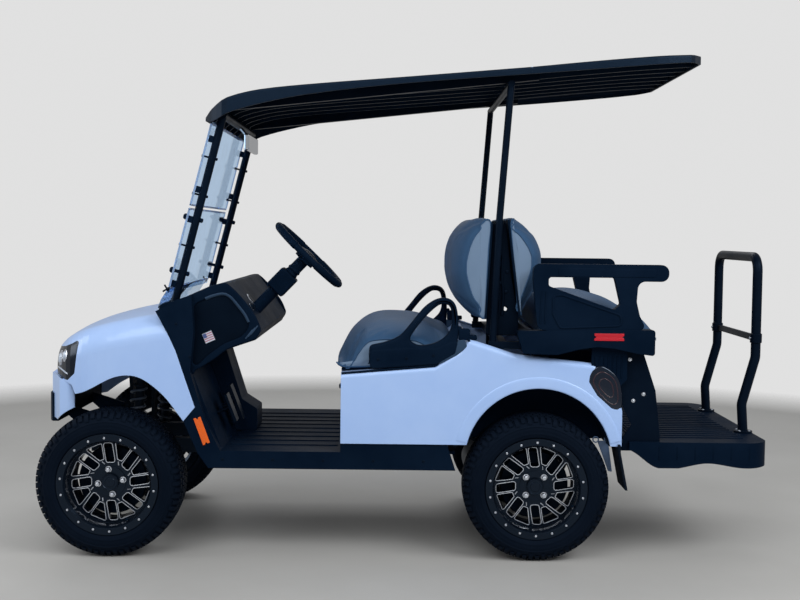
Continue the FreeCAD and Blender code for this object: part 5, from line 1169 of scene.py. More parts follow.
@dataclass
class Screen(Assembly):
    """Fasteners, trims, wing nuts and foot strip of the folding windscreen."""

    foot: Flat = (0.930, 1.006)
    top: Flat = (0.736, 1.762)
    post_y: float = 0.470
    post_radius: float = 0.016
    pane: float = 0.037
    pane_half: float = 0.490
    knob_levels: tuple = (1.130, 1.345)
    bolt_levels: tuple = (1.235, 1.440, 1.590)
    wing_level: float = 1.052
    pane_levels: tuple = ((1.066, 1.374), (1.398, 1.718))
    bar_levels: tuple = (1.060, 1.378, 1.394, 1.722)
    strip: tuple = ((0.9860, 1.0200), (0.9990, 0.9860), (0.9950, 0.9850), (0.9810, 1.0190))

    def spot(self, z: float, forward: float) -> Flat:
        """A point at a height of the posts' line, moved forward square to it.

        Args:
            z: the height.
            forward: how far it is moved.

        Returns:
            The point in the side view.
        """
        run = (Vector(self.top) - Vector(self.foot)).normalized()
        share = (z - self.foot[1]) / (self.top[1] - self.foot[1])
        return (self.foot[0] + share * (self.top[0] - self.foot[0]) + run.y * forward, z - run.x * forward)

    def build(self) -> None:
        """Make the fasteners and the panes' edge trims."""
        run = (Vector((self.top[0], 0, self.top[1])) - Vector((self.foot[0], 0, self.foot[1]))).normalized()
        ahead = Vector((run.z, 0, -run.x))
        knobs, steel = Shape(), Shape()
        plan = (
            (knobs, self.knob_levels, (0.0125, 0.016, 20, 0.5), (0.0095, 0.012, 6, 0.3),
             (0.030, 0.010, 0.0), 0.007, 12),
            (steel, self.bolt_levels, (0.0075, 0.006, 12, 0.4), (0.006, 0.007, 6, 0.3), (0.025, 0.0), 0.004, 8),
        )
        for shape, levels, head, nut, shank, radius, sides in plan:
            for front in lifted([self.spot(level, self.pane) for level in levels], self.post_y):
                front = Vector(front)
                shape.stud(front, ahead, *head)
                shape.stud(front - ahead * (self.pane + self.post_radius), -ahead, *nut)
                shape.tube([front - ahead * depth for depth in shank], radius, sides)
        wing = Vector(lifted([self.spot(self.wing_level, 0.036)], self.post_y)[0])
        steel.stud(wing, ahead, radius=0.008, height=0.012)
        bow = ((0.008, 0.0), (0.016, 0.008), (0.022, 0.014))
        for lean in (-1, 1):
            steel.tube([wing + ahead * out + run * along * lean for out, along in bow], radius=0.0035, sides=8)
        self.shop.pair("screen_knobs", knobs, "moulded_black")
        self.shop.pair("screen_bolts", steel, "coated_steel")
        self.trims()

    def trims(self) -> None:
        """Clear edge strips of both panes, the joint between them and the strip at their foot."""
        trims, strip = Shape(), Shape()
        for low, high in self.pane_levels:
            path = [self.spot(z, self.pane - 0.0025) for z in (low, (low + high) / 2, high)]
            trims.tube(lifted(path, self.pane_half - 0.003), radius=0.0042, sides=8)
        trims.twin()
        for level in self.bar_levels:
            x, z = self.spot(level, self.pane - 0.0025)
            trims.tube([(x, y, z) for y in (-self.pane_half, 0, self.pane_half)], radius=0.0042, sides=8)
        self.shop.place("screen_trims", trims, "edge_clear")
        x, z = self.spot(self.bar_levels[0], self.pane - 0.002)
        strip.plaque(rounded([(x, z), (x + 0.004, z + 0.001), *self.strip], 0.002, 3), (-0.470, 0.470), edge=0.0012)
        self.shop.place("screen_fairing", strip, "screen_clear")


@dataclass
class Bodywork(Assembly):
    """Painted flares, edge trims, lamp internals, the roof's joint and small fasteners."""

    arch: Flat = (-0.53675, 0.396)
    flare_radius: float = 0.2945
    flare_width: float = 0.046
    flare_rise: float = 0.0024
    flare_sweep: Flat = (-12.0, 178.0)
    flare_steps: int = 72
    flare_section: tuple = ((0.0, -4.0), (0.0, 0.6), (0.06, 0.95), (0.3, 1.0), (0.7, 1.0), (0.86, 0.8), (0.95, 0.3),
                            (1.0, -0.4))
    pod_side: float = 0.50
    pod_lines: tuple = ((0.2490, -0.135, 0.0045), (-0.2500, -0.445, 0.0065))
    pod_edge: float = 0.552
    projectors: tuple = ((0.430, 0.775, 0.026), (0.480, 0.790, 0.021))
    light_strip: Flat = (0.405, 0.735)
    strip_pitch: float = 0.013
    strip_fall: float = 0.00024
    strip_points: int = 9
    joint_x: float = -0.484
    joint_half: float = 0.597
    cap_rows: tuple = (((-0.44, -0.53), (-0.42, -0.14, 0.14, 0.42)), ((0.45, 0.10, -0.25), (-0.44, 0.44)))
    stop: Point = (0.2505, 0.545, 0.687)
    sill_screws: tuple = ((0.72, 0.392), (0.52, 0.392), (0.32, 0.392), (0.12, 0.392), (-0.08, 0.392))
    pillar_screws: tuple = ((0.800, 0.600), (0.850, 0.800), (0.905, 0.930))

    def build(self) -> None:
        """Make all of it."""
        self.flares()
        self.pod_trims()
        self.lamps()
        self.roof_joint()
        self.latches()

    def flares(self) -> None:
        """Raised painted lips round the rear wheel arches."""
        probe, shape = Probe("rear_body"), Shape()
        first, last = self.flare_sweep
        rows = []
        for index in range(self.flare_steps + 1):
            turn = math.radians(first + (last - first) * index / self.flare_steps)
            row = []
            for share, rise in self.flare_section:
                radius = self.flare_radius + share * self.flare_width
                met = probe.side(self.arch[0] + radius * math.cos(turn), self.arch[1] + radius * math.sin(turn))
                row += [place + Vector((0, self.flare_rise * rise, 0)) for place, _ in met if place.y >= self.pod_side]
            if len(row) == len(self.flare_section):
                rows.append(row)
        shape.skin(rows, loop=False, caps=False)
        self.shop.pair("arch_lips", shape, "body_paint", sharp=50.0)

    def pod_trims(self) -> None:
        """Black line on the pod's top edge and strip below the seat frame."""
        probe, shape = Probe("rear_body"), Shape()
        steps = 24
        for start, end, radius in self.pod_lines:
            path = []
            for x in (start + (end - start) * index / steps for index in range(steps + 1)):
                path += [(x, skin.y - 0.0015, top.z - 0.0025) for top, _ in probe.above(x, self.pod_edge)
                         for skin, _ in probe.side(x, top.z - 0.010)]
            shape.tube(path, radius, sides=10)
        self.shop.pair("pod_trims", shape, "moulded_black")

    def lamps(self) -> None:
        """Projectors and light strips in the headlamps."""
        probe, bowls, lenses = Probe("headlamps"), Shape(), Shape()
        for y, z, radius in self.projectors:
            met = probe.ahead(y, z)
            bowls.screws(met, sink=0.002, radius=radius * 1.22, height=0.0045, sides=40, dome=0.6)
            lenses.screws(met, sink=-0.001, radius=radius * 0.82, height=0.0075, sides=40, dome=0.9)
        y, z = self.light_strip
        lenses.tube([place + normal * 0.0005 for index in range(self.strip_points) for place, normal in
                     probe.ahead(y + index * self.strip_pitch, z - self.strip_fall * index ** 2)],
                    radius=0.0035, sides=8)
        self.shop.pair("lamp_bowls", bowls, "bright_alloy")
        self.shop.pair("lamp_lenses", lenses, "lamp_pale")

    def roof_joint(self) -> None:
        """Bright joint between the two roof mouldings, and caps of the roof's screws."""
        probe, joint, caps = Probe("roof_front", "roof_rear"), Shape(), Shape()
        steps = 60
        joint.tube([place - Vector((0, 0, 0.0012)) for index in range(steps + 1)
                    for place, _ in probe.above(self.joint_x, self.joint_half * (2 * index / steps - 1))],
                   radius=0.0032, sides=8)
        self.shop.place("roof_joint", joint, "edge_pale")
        for places, sides in self.cap_rows:
            for x, y in ((x, y) for x in places for y in sides):
                caps.screws(probe.above(x, y), sink=0.001, radius=0.0085, height=0.0035, sides=20, dome=0.6)
        self.shop.place("roof_caps", caps, "moulded_black", slot="roof_shell")

    def latches(self) -> None:
        """Rubber seat stop on the pod's front, and screws along the side panels."""
        stops, screws, probe = Shape(), Shape(), Probe("side_panels")
        stops.stud(self.stop, FORWARD, radius=0.0105, height=0.009, sides=20, dome=0.6)
        self.shop.pair("pod_stops", stops, "moulded_black")
        for places, radius, height in ((self.sill_screws, 0.0060, 0.0026), (self.pillar_screws, 0.0055, 0.0024)):
            for x, z in places:
                screws.screws(probe.side(x, z), sink=0.0008, radius=radius, height=height, sides=16, dome=0.6)
        self.shop.pair("panel_screws", screws, "coated_steel")


@dataclass
class Tail(Assembly):
    """Bolts, reflectors, brackets, step ribs and hoop fittings at the rear."""

    plate_face: float = 0.5500
    plate_bolts: tuple = ((-0.8990, 0.8064), (-0.9560, 0.6678), (-0.9152, 0.6411))
    lamp_shares: tuple = ((0.0, 0.65), (0.10, 0.92), (0.42, 1.0), (0.85, 0.70), (0.95, 0.10), (0.70, 0.0), (0.25, 0.32))
    lamp_start: Flat = (-0.730, 0.607)
    lamp_size: Flat = (-0.142, 0.174)
    cell_shares: Flat = (0.72, 0.42)
    amber: tuple = ((0.7964, 0.4470), (0.8359, 0.5539), (0.8077, 0.5618), (0.7698, 0.4590))
    amber_middle: Flat = (0.8025, 0.5054)
    notch: float = 0.009
    notch_half: float = 0.0055
    column_side: float = 0.54
    column_first: float = -0.7560
    column_pitch: float = 0.0175
    column_count: int = 7
    column_foot: float = 0.735
    column_height: float = 0.085
    step_top: float = 0.478
    grip_x: float = -1.165
    grip_half: float = 0.45
    grip_pitch: float = 0.05
    grip_count: int = 19
    lip_ribs: tuple = (-0.929, -0.944, -0.959)
    flute_first: Flat = (-1.02, 0.440)
    flute_pitch: float = 0.072
    flute_count: int = 6
    hoop_x: float = -1.47375
    hoop_y: float = 0.300
    hoop_bar_z: float = 0.876
    hoop_foot_x: float = -1.42975
    hoop_bolt_circle: float = 0.029
    collar: tuple = ((0.0212, -0.020), (0.0245, -0.018), (0.0245, 0.018), (0.0212, 0.020))
    arm_face: float = 0.6045
    leg_rib: tuple = ((-0.536, 1.075), (-0.534, 1.020), (-0.532, 0.950))
    arm_border: tuple = ((-0.5815, 1.0618), (-0.6196, 1.0622), (-0.8480, 0.9850), (-0.8520, 0.9440), (-0.6103, 0.9330),
                         (-0.5813, 0.9898))
    arm_panel: tuple = ((-0.600, 1.135), (-0.600, 1.170), (-0.985, 1.170), (-0.985, 1.135))
    shackle: tuple = ((-0.7829, 0.4700), (-0.8274, 0.4700), (-0.8459, 0.3429), (-0.8296, 0.3468))
    shackle_rings: tuple = ((-0.7760, 0.4758), (-0.8226, 0.4765))

    def build(self) -> None:
        """Make all of it."""
        self.bolts()
        self.lamps()
        self.reflectors()
        self.column_ribs()
        self.step_ribs()
        self.hoop_fittings()
        self.arm_ribs()
        self.shackles()

    def bolts(self) -> None:
        """Bright bolts of the side plates."""
        bolts = Shape()
        for x, z in self.plate_bolts:
            bolts.stud((x, self.plate_face - 0.001, z), LEFTWARD, radius=0.0075, height=0.0016, sides=28)
            bolts.stud((x, self.plate_face, z), LEFTWARD, radius=0.0052, height=0.0050, sides=6, dome=0.25)
        self.shop.pair("plate_bolts", bolts, "bright_alloy")

    def lamps(self) -> None:
        """Smoked teardrop lenses of the tail lamps, with the cells behind them."""
        lens, cells = Shape(), Shape()
        outline = curved(spread(self.lamp_shares, self.lamp_start, self.lamp_size), 72)
        lens.plaque(outline, (0.552, 0.5806), edge=0.0075, segments=5)
        self.shop.pair("tail_lenses", lens, "smoked_lens", replaces=("tail_lamps",), sharp=50.0)
        centre = sum((Vector(point) for point in outline), Vector((0, 0))) / len(outline)
        for share in self.cell_shares:
            path = [centre + (Vector(point) - centre) * share for point in outline]
            cells.tube(lifted(path, 0.5798), radius=0.0014, sides=8, closed=True)
        self.shop.pair("tail_cells", cells, "red_dim")

    def reflectors(self) -> None:
        """Reflectors on the rails and the pillars, each with a notch in two sides."""
        low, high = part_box("rail_reflectors")
        red = ((low.x, low.z), (high.x, low.z), (high.x, high.z), (low.x, high.z))
        red_middle = ((low.x + high.x) / 2, (low.z + high.z) / 2)
        plan = (("red_reflectors", red, red_middle, "red_reflector", "rail_reflectors"),
                ("amber_reflectors", self.amber, self.amber_middle, "amber_reflector", "pillar_reflectors"))
        for name, corners, middle, finish, node in plan:
            shape, outline, outer = Shape(), [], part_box(node)[1].y
            for index, corner in enumerate(corners):
                outline.append(corner)
                if index % 2:
                    here, there = Vector(corner), Vector(corners[(index + 1) % 4])
                    run, centre = (there - here).normalized() * self.notch_half, (here + there) / 2
                    tip = centre + (Vector(middle) - centre).normalized() * self.notch
                    outline += [tuple(centre - run), tuple(tip), tuple(centre + run)]
            shape.plaque(rounded(outline, radius=0.002, steps=3), (outer - 0.004, outer), edge=0.001)
            self.shop.pair(name, shape, finish, replaces=(node,))

    def column_ribs(self) -> None:
        """Upright grooves of the black corner columns."""
        probe, ribs = Probe("rear_trim"), Shape()
        steps = 8
        for x in (self.column_first - index * self.column_pitch for index in range(self.column_count)):
            path = [place for step in range(steps + 1)
                    for place, _ in probe.side(x, self.column_foot + self.column_height * step / steps)
                    if place.y > self.column_side]
            if len(path) > 2:
                ribs.tube(path, radius=0.0032, sides=8)
        self.shop.pair("column_ribs", ribs, "moulded_black")

    def step_ribs(self) -> None:
        """Grip ribs on the footboard, its front lip and its sides."""
        probe, ribs, flutes = Probe("rear_step"), Shape(), Shape()
        for y in (-self.grip_half + index * self.grip_pitch for index in range(self.grip_count)):
            ribs.slab((self.grip_x, y, self.step_top + 0.0010), (0.440, 0.014, 0.005), edge=0.0018)
        for x in self.lip_ribs:
            ribs.slab((x, 0, self.step_top + 0.0012), (0.006, 0.96, 0.005), edge=0.0018)
        self.shop.place("step_ribs", ribs, "moulded_black")
        first, level = self.flute_first
        for place, _ in (met for index in range(self.flute_count)
                         for met in probe.side(first - index * self.flute_pitch, level)):
            flutes.slab(place + Vector((0, -0.001, -0.006)), (0.004, 0.006, 0.052), edge=0.0018)
        self.shop.pair("step_flutes", flutes, "moulded_black")

    def hoop_fittings(self) -> None:
        """Collars of the hoop's cross bar, its end caps and the bolts of its feet."""
        collars, bolts = Shape(), Shape()
        collars.lathe(self.collar, (self.hoop_x, self.hoop_y, self.hoop_bar_z), UPWARD, 32)
        for turn in (math.radians(45 + 90 * quarter) for quarter in range(4)):
            place = (self.hoop_foot_x + self.hoop_bolt_circle * math.cos(turn),
                     self.hoop_y + self.hoop_bolt_circle * math.sin(turn), self.step_top + 0.007)
            bolts.stud(place, UPWARD, radius=0.0058, height=0.0055, sides=6, dome=0.3)
        bolts.stud((self.hoop_x + 0.020, self.hoop_y, self.hoop_bar_z), FORWARD, radius=0.0065, height=0.009, dome=0.5)
        self.shop.pair("hoop_collars", collars, "coated_steel")
        self.shop.pair("hoop_bolts", bolts, "zinc_plate")

    def arm_ribs(self) -> None:
        """Moulded ribs, borders and top strips of the rear armrests."""
        ribs, face = Shape(), self.arm_face
        for offset in (0.0, 0.018):
            path = [(x - offset, z) for x, z in self.leg_rib]
            ribs.tube(lifted(curved(path, 12, closed=False), face), radius=0.0035, sides=8)
        ribs.tube(lifted(rounded(self.arm_border, radius=0.020), face), radius=0.0042, sides=8, closed=True)
        ribs.plaque(rounded(self.arm_panel, radius=0.012), (face - 0.002, face + 0.0022), edge=0.0015)
        self.shop.pair("arm_ribs", ribs, "moulded_black", sharp=50.0)

    def shackles(self) -> None:
        """Pale brackets and rings behind the rear wheels."""
        brackets = Shape()
        brackets.plaque(rounded(self.shackle, radius=0.004), (0.4960, 0.5000), edge=0.001)
        for middle in self.shackle_rings:
            brackets.tube(lifted(circle(middle, 0.011, 0.011, 28), 0.505), radius=0.0028, sides=8, closed=True)
        self.shop.pair("rear_shackles", brackets, "galvanised")


@dataclass
class Undercarriage(Assembly):
    """Springs that show through the wheel arches."""

    foot: Point = (1.133, 0.330, 0.222)
    head: Point = (1.11, 0.284, 0.700)
    coil_radius: float = 0.0300
    wire: float = 0.0052
    coils: float = 8.5
    coil_steps: int = 20
    span: Flat = (0.235, 0.64)

    def build(self) -> None:
        """Make the springs."""
        shape, strut = Shape(), Vector(self.head) - Vector(self.foot)
        run, side, other = square_to(strut)
        path = []
        total = int(self.coils * self.coil_steps)
        for step in range(total + 1):
            turn = 2 * math.pi * step / self.coil_steps
            rise = strut.length * (self.span[0] + self.span[1] * step / total)
            out = (side * math.cos(turn) + other * math.sin(turn)) * self.coil_radius
            path.append(Vector(self.foot) + run * rise + out)
        shape.tube(path, self.wire, sides=8)
        self.shop.pair("coil_springs", shape, "spring_pale")


@dataclass
class Helm(Assembly):
    """Grip bumps and cap of the steering wheel, and the column's gaiter."""

    centre: Point = (0.404, 0.270, 1.203)
    lean: float = 46.0
    radius: float = 0.175
    grip: float = 0.01624
    grip_half: float = 26.0
    folds: int = 12
    fold: float = 0.009

    def build(self) -> None:
        """Make the wheel's cover pieces."""
        grip, cap, boot = Shape(), Shape(), Shape()
        lean = math.radians(self.lean)
        axis, across, middle = Vector((-math.cos(lean), 0, math.sin(lean))), Vector(LEFTWARD), Vector(self.centre)
        up = axis.cross(across)
        half = 8
        for quarter in range(4):
            angles = (math.radians(45 + 90 * quarter) + math.radians(self.grip_half) * (step / half - 1)
                      for step in range(2 * half + 1))
            grip.tube([middle + (across * math.cos(turn) + up * math.sin(turn)) * self.radius for turn in angles],
                      self.grip, sides=16)
        self.shop.place("helm_grips", grip, "moulded_black", "steering_hand_wheel", sharp=50.0)
        cap.stud(middle - axis * 0.004, axis, radius=0.052, height=0.012, sides=48, dome=0.8)
        cap.stud(middle - axis * 0.004, axis, radius=0.034, height=0.016, sides=48, dome=0.6)
        self.shop.place("helm_cap", cap, "smooth_black", "steering_hand_wheel", sharp=50.0)
        start = -0.020
        profile = [(0.026 + 0.004 * (index % 2), start - self.fold * index) for index in range(self.folds)]
        boot.lathe([(0.020, start), *profile, (0.020, profile[-1][1])], middle - axis * 0.060, axis, 32)
        self.shop.place("helm_boot", boot, "moulded_black", sharp=40.0)


# Seats


@dataclass(frozen=True)
class Stitching:
    """How a padded piece is cut, sewn and stuffed, in metres."""

    shoulder: float
    drop: float
    around: int = 96
    across: int = 64
    crowding: float = 1.35
    margin: float = 0.004
    side_rings: int = 9
    side_bulge: float = 0.004
    piping: float = 0.0032
    soft_passes: int = 6
    held_below: float = 0.12
    pressure: float = 4.0
    frames: int = 20
    reach: float = 0.009
    spare: float = 0.003
    fill: float = 0.6


@dataclass
class Pad(Assembly):
    """A sewn bench piece: a section carried across the cart, with side panels and piping."""

    name: str
    node: str
    body: str
    shares: tuple
    crown: Flat
    low: Vector
    high: Vector
    cut: Stitching

    def section(self) -> list[Flat]:
        """The closed section in the plane of X and Z.

        Returns:
            Its points.
        """
        size = self.high - self.low
        points = [(self.high.x - u * size.x, self.low.z + v * size.z) for u, v in self.shares]
        return [(min(max(x, self.low.x), self.high.x), min(max(z, self.low.z), self.high.z))
                for x, z in curved(points, self.cut.around)]

    def weights(self, points: list[Flat]) -> list[float]:
        """How much each point of the section belongs to the crown, from 0 on the foot to 1.

        Args:
            points: the section.

        Returns:
            A share for each point.
        """
        rough = [min(max(0.35 + 1.3 * (nx * self.crown[0] + nz * self.crown[1]), 0.0), 1.0)
                 for nx, nz in outward(points)]
        for _ in range(self.cut.soft_passes):
            rough = [(rough[index - 1] + rough[index] * 2 + rough[(index + 1) % len(rough)]) / 4
                     for index in range(len(rough))]
        return rough

    def rings(self) -> list[list[Point]]:
        """The section at each station, from one side panel's middle to the other's.

        Returns:
            The rings of the whole pad.
        """
        cut, points = self.cut, self.section()
        corners = list(zip(points, outward(points), self.weights(points)))
        half = self.high.y - cut.margin
        result = []
        for index in range(cut.across + 1):
            turn = -1 + 2 * index / cut.across
            place = half * math.copysign(1 - (1 - abs(turn)) ** cut.crowding, turn)
            into = max(abs(place) - (half - cut.shoulder), 0.0) / cut.shoulder
            depth = cut.drop * (1 - math.sqrt(max(1 - into ** 2, 0.0)))
            result.append([(x - nx * depth * weight, place, z - nz * depth * weight)
                           for (x, z), (nx, nz), weight in corners])
        return [*reversed(self.side_panel(result[0], -1)), *result, *self.side_panel(result[-1], 1)]

    def side_panel(self, edge: list[Point], sign: int) -> list[list[Point]]:
        """Rings that fill the panel inside an end of the section.

        Args:
            edge: the end ring.
            sign: which way the panel faces.

        Returns:
            The rings, from the edge inwards.
        """
        middle = sum((Vector(point) for point in edge), Vector()) / len(edge)
        result = []
        for index in range(1, self.cut.side_rings + 1):
            share = 1 - index / (self.cut.side_rings + 0.35)
            lift = Vector((0, sign * self.cut.side_bulge * (1 - share ** 2), 0))
            result.append([tuple(middle + (Vector(point) - middle) * share + lift) for point in edge])
        return result

    def build(self) -> None:
        """Sew, stuff and pipe the pad."""
        cut, shape, piping, rings = self.cut, Shape(), Shape(), self.rings()
        shape.skin(rings)
        pad = self.shop.place(self.name, shape, "seat_vinyl_dark", self.body, replaces=(self.node,), sharp=70.0)
        pad.data.materials.append(self.shop.palette["seat_vinyl"])
        seams = (cut.side_rings, len(rings) - 1 - cut.side_rings)
        weights = self.weights(self.section())
        held = [row * cut.around + index for row in range(len(rings)) for index in range(cut.around)
                if row in seams or weights[index] < cut.held_below]
        pad.vertex_groups.new(name="sewn").add(held, 1.0, "REPLACE")
        for face in pad.data.polygons:
            face.material_index = int(not seams[0] <= min(face.vertices) // cut.around < seams[1])
        self.stuff(pad)
        for row in seams:
            line = [tuple(vert.co) for vert in pad.data.vertices[row * cut.around:(row + 1) * cut.around]]
            piping.tube(line, cut.piping, sides=8, closed=True)
        soften = pad.modifiers.new("soften", "SUBSURF")
        soften.levels = soften.render_levels = 1
        self.settle(pad)
        self.shop.place(f"{self.name}_piping", piping, "seat_vinyl_dark", self.body, sharp=60.0)

    def stuff(self, pad: bpy.types.Object) -> None:
        """Blow the cover up between its seams with a short cloth simulation.

        Args:
            pad: the sewn cover.
        """
        start = [vert.co.copy() for vert in pad.data.vertices]
        cloth = pad.modifiers.new("cover", "CLOTH")
        setup = {"quality": 5, "mass": 0.4, "tension_stiffness": 22.0, "compression_stiffness": 22.0,
                 "shear_stiffness": 12.0, "bending_stiffness": 1.6, "vertex_group_mass": "sewn", "pin_stiffness": 1.0,
                 "use_pressure": True, "uniform_pressure_force": self.cut.pressure}
        for label, value in setup.items():
            setattr(cloth.settings, label, value)
        cloth.settings.effector_weights.gravity = 0.0
        cloth.point_cache.frame_start, cloth.point_cache.frame_end = 1, self.cut.frames
        for step in range(1, self.cut.frames + 1):
            bpy.context.scene.frame_set(step)
        self.settle(pad)
        bpy.context.scene.frame_set(1)
        room = Vector((self.cut.spare, 0, self.cut.spare * 3))
        low, high = self.low - room, self.high + room
        for vert, old in zip(pad.data.vertices, start):
            move = vert.co - old
            if move.length > self.cut.reach:
                move = move.normalized() * self.cut.reach
            vert.co = [min(max(value, least), most) for value, least, most in zip(old + move, low, high)]

    def settle(self, pad: bpy.types.Object) -> None:
        """Keep the modified mesh as the object's own.

        Args:
            pad: the object.
        """
        graph = bpy.context.evaluated_depsgraph_get()
        mesh = bpy.data.meshes.new_from_object(pad.evaluated_get(graph), depsgraph=graph)
        pad.modifiers.clear()
        old, pad.data = pad.data, mesh
        bpy.data.meshes.remove(old)


@dataclass
class Seats(Assembly):
    """Both benches and both backrests."""

    cushion_shares: tuple = (
        (0.0, 0.03), (0.017, 0.167), (0.086, 0.526), (0.174, 0.818), (0.262, 0.945), (0.395, 0.995),
        (0.55, 0.99), (0.698, 0.955), (0.83, 0.80), (0.975, 0.66), (0.985, 0.44), (0.80, 0.17), (0.45, 0.06))
    rear_cushion_shares: tuple = (
        (0.0, 0.04), (0.01, 0.6), (0.08, 0.85), (0.3, 0.96), (0.42, 1.0), (0.58, 0.915),
        (0.68, 0.78), (0.77, 0.63), (0.93, 0.42), (0.99, 0.22), (0.985, 0.05), (0.93, 0.01), (0.5, 0.0))
    front_back_shares: tuple = (
        (0.66, 1.0), (0.36, 0.917), (0.138, 0.773), (0.006, 0.58), (0.0, 0.453), (0.108, 0.29),
        (0.27, 0.144), (0.575, 0.02), (0.72, 0.0), (0.874, 0.03), (0.91, 0.35), (0.95, 0.70), (0.99, 0.96))
    rear_back_shares: tuple = (
        (0.04, 1.0), (0.23, 0.985), (0.54, 0.91), (0.85, 0.76), (1.0, 0.61), (0.97, 0.446),
        (0.785, 0.246), (0.656, 0.128), (0.417, 0.02), (0.31, 0.02), (0.20, 0.35), (0.10, 0.68))
    spine: tuple = ((-0.3440, 1.340), (-0.4020, 1.345), (-0.4220, 1.150), (-0.4560, 0.972), (-0.4540, 0.893),
                    (-0.3260, 0.893), (-0.3290, 0.990))
    spine_ribs: tuple = (((-0.3600, 1.240), (-0.3640, 1.120), (-0.3780, 1.030), (-0.3740, 0.965)),
                         ((-0.3880, 1.215), (-0.3860, 1.130), (-0.3930, 1.060), (-0.3900, 0.975)))
    spine_bolts: tuple = ((-0.3760, 1.185), (-0.3800, 1.105), (-0.4040, 1.070), (-0.4080, 1.150))
    spine_window: Flat = (-0.4032, 1.001)
    cushion_lip: float = 0.016
    cushion_fall: float = 0.014
    rear_cushion_end: float = -1.018
    cushion_cut: Stitching = Stitching(shoulder=0.40, drop=0.060)
    back_cut: Stitching = Stitching(shoulder=0.20, drop=0.050)
    slimming: float = 0.020
    rear_back_lift: float = 0.0127
    front_back_rear: float = -0.339
    rear_back_front: float = -0.412

    def build(self) -> None:
        """Make the four pads and the brackets between the backrests."""
        seat_low, seat_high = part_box("front_cushion")
        bench_low, bench_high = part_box("rear_cushion")
        low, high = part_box("backrests")
        seat_high += Vector((self.cushion_lip, 0, -self.cushion_fall))
        bench_low.x = self.rear_cushion_end
        near, far = Vector((self.front_back_rear, low.y, low.z)), Vector((self.rear_back_front, high.y, high.z))
        slim = Vector((self.slimming, 0, 0))
        plan = (
            ("front_seat_pad", "front_cushion", "front_seat", self.cushion_shares, (0.25, 0.97), seat_low, seat_high,
             self.cushion_cut),
            ("rear_seat_pad", "rear_cushion", "rear_seat", self.rear_cushion_shares, (0.0, 1.0), bench_low, bench_high,
             self.cushion_cut),
            ("front_back_pad", "backrests", "chassis", self.front_back_shares, (1.0, 0.15), near, high - slim,
             self.back_cut),
            ("rear_back_pad", "backrests", "chassis", self.rear_back_shares, (-1.0, 0.15),
             low + slim + Vector((0, 0, self.rear_back_lift)), far, self.back_cut),
        )
        for row in plan:
            Pad(self.shop, *row).build()
        self.spines()

    def spines(self) -> None:
        """Moulded brackets between the backrests' shells, with their ribs and bolts."""
        plates, bolts = Shape(), Shape()
        window = circle(self.spine_window, 0.007, 0.011, 24)
        plates.plaque(rounded(self.spine, radius=0.012), (0.488, 0.506), edge=0.003, holes=(window,))
        for path in self.spine_ribs:
            plates.tube(lifted(curved(path, 24, closed=False), 0.507), radius=0.0060, sides=10)
        self.shop.pair("back_spines", plates, "smooth_black", sharp=50.0)
        for place in lifted(self.spine_bolts, 0.505):
            bolts.stud(place, LEFTWARD, radius=0.0075, height=0.0065, sides=6, dome=0.3)
        self.shop.pair("spine_bolts", bolts, "coated_steel")


# Studio


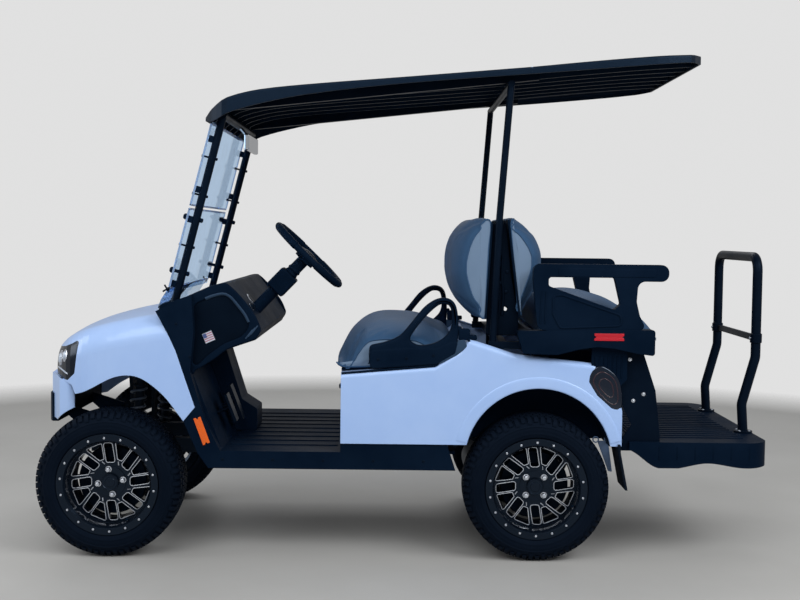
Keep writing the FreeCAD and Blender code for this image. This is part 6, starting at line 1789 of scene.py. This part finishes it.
@dataclass
class Studio:
    """Floor, backdrop, lamps and the camera at the picture's viewpoint."""

    eye: Point = (0.031, 5.273, 1.300)
    yaw: float = math.radians(0.13)
    pitch: float = math.radians(3.23)
    roll: float = math.radians(0.65)
    focal_px: float = 1191.0
    picture_width: float = 800.0
    sensor: float = 36.0
    floor_clear: float = 4.5
    floor_end: float = 5.6
    key_energy: float = 138.0
    seen_level: float = 0.75
    gloss_level: float = 0.32
    fill_level: float = 0.36
    aim: Point = (0.0, 0.0, 0.8)
    lamps: tuple = (((1.6, 4.0, 4.0), (4.0, 2.8), 0.78), ((-3.4, 3.2, 3.8), (3.4, 2.4), 1.05),
                    ((0.0, -3.5, 4.0), (4.0, 2.5), 0.45), ((4.2, 0.5, 2.2), (2.0, 2.4), 0.30))

    def build(self) -> None:
        """Make the whole studio."""
        self.make_floor()
        self.make_world()
        self.make_lamps()
        self.make_camera()
        bpy.context.scene.view_settings.view_transform = "Standard"

    def stand(self, name: str, data: bpy.types.ID) -> bpy.types.Object:
        """Put something in the scene.

        Args:
            name: the object's name.
            data: its mesh, lamp or camera.

        Returns:
            The object.
        """
        holder = bpy.data.objects.new(name, data)
        bpy.context.scene.collection.objects.link(holder)
        return holder

    def make_floor(self) -> None:
        """Lay the pale round floor, which fades out into the backdrop."""
        disc, mesh = bmesh.new(), bpy.data.meshes.new("studio_floor")
        disc.faces.new([disc.verts.new((x, y, CAD_BOX[0].z))
                        for x, y in circle((0.0, 0.0), self.floor_end, self.floor_end, 96)])
        disc.to_mesh(mesh)
        disc.free()
        material, graph, inputs, place = open_material("floor_pale")
        patches = graph.ramp(graph.noise(place, 1.5, 5.0, 0.6), 0.3, 0.7)
        reach = graph.add("VectorMath", {0: place}, operation="LENGTH").outputs["Value"]
        graph.feed(inputs["Base Color"], graph.blend(patches, (0.45, 0.45, 0.44), (0.49, 0.49, 0.48)))
        graph.feed(inputs["Roughness"], 0.45)
        graph.feed(inputs["Alpha"], graph.maths("SUBTRACT", 1.0, graph.ramp(reach, self.floor_clear, self.floor_end)))
        mesh.materials.append(material)
        floor = self.stand("studio_floor", mesh)

    def make_world(self) -> None:
        """Pale surroundings for the camera and glass, quieter ones for gloss and for light."""
        world = bpy.data.worlds.new("studio_world")
        bpy.context.scene.world = world
        world.use_nodes = True
        graph = Graph(world.node_tree)
        rays = graph.add("LightPath").outputs
        seen = graph.maths("MAXIMUM", rays["Is Camera Ray"], rays["Is Transmission Ray"])
        gloss = graph.times(rays["Is Glossy Ray"], self.gloss_level - self.fill_level)
        level = graph.maths("MAXIMUM", graph.times(seen, self.seen_level), graph.maths("ADD", gloss, self.fill_level))
        background = world.node_tree.nodes["Background"].inputs
        graph.feed(background["Color"], (1.0, 1.0, 1.0))
        graph.feed(background["Strength"], level)

    def make_lamps(self) -> None:
        """Hang the soft lamps, each aimed at the cart."""
        for index, (place, size, share) in enumerate(self.lamps):
            lamp = bpy.data.lights.new(f"softbox_{index}", "AREA")
            lamp.shape = "RECTANGLE"
            lamp.size, lamp.size_y = size
            lamp.energy = self.key_energy * share
            holder = self.stand(lamp.name, lamp)
            holder.location = place
            holder.rotation_euler = (Vector(self.aim) - Vector(place)).to_track_quat("-Z", "Y").to_euler()

    def make_camera(self) -> None:
        """Set the camera where the picture was taken from."""
        camera = bpy.data.cameras.new("picture_camera")
        camera.sensor_width = self.sensor
        camera.lens = self.focal_px / self.picture_width * self.sensor
        level_right = Vector((-math.cos(self.yaw), math.sin(self.yaw), 0.0))
        level_ahead = Vector((-math.sin(self.yaw), -math.cos(self.yaw), 0.0))
        plumb = Vector(UPWARD)
        ahead = level_ahead * math.cos(self.pitch) - plumb * math.sin(self.pitch)
        above = plumb * math.cos(self.pitch) + level_ahead * math.sin(self.pitch)
        right = level_right * math.cos(self.roll) + above * math.sin(self.roll)
        above = above * math.cos(self.roll) - level_right * math.sin(self.roll)
        holder = self.stand(camera.name, camera)
        holder.matrix_world = Matrix.Translation(self.eye) @ Matrix((right, above, -ahead)).transposed().to_4x4()
        bpy.context.scene.camera = holder


def main() -> None:
    """Dress the cart and set up its studio."""
    logging.basicConfig(level=logging.INFO)
    palette = {finish.name: finish.build() for finish in FINISHES}
    dress_nodes(palette)
    shop = Workshop(palette)
    for end, centre_x, lug_turn, bolt_turn in AXLES:
        for side in Side:
            Wheel(shop, end, side, centre_x, lug_turn, bolt_turn).build()
    for kind in (Seats, SideArms, Dash, Screen, Bodywork, Tail, Undercarriage, Helm):
        kind(shop).build()
    Studio().build()


if __name__ == "__main__":
    main()
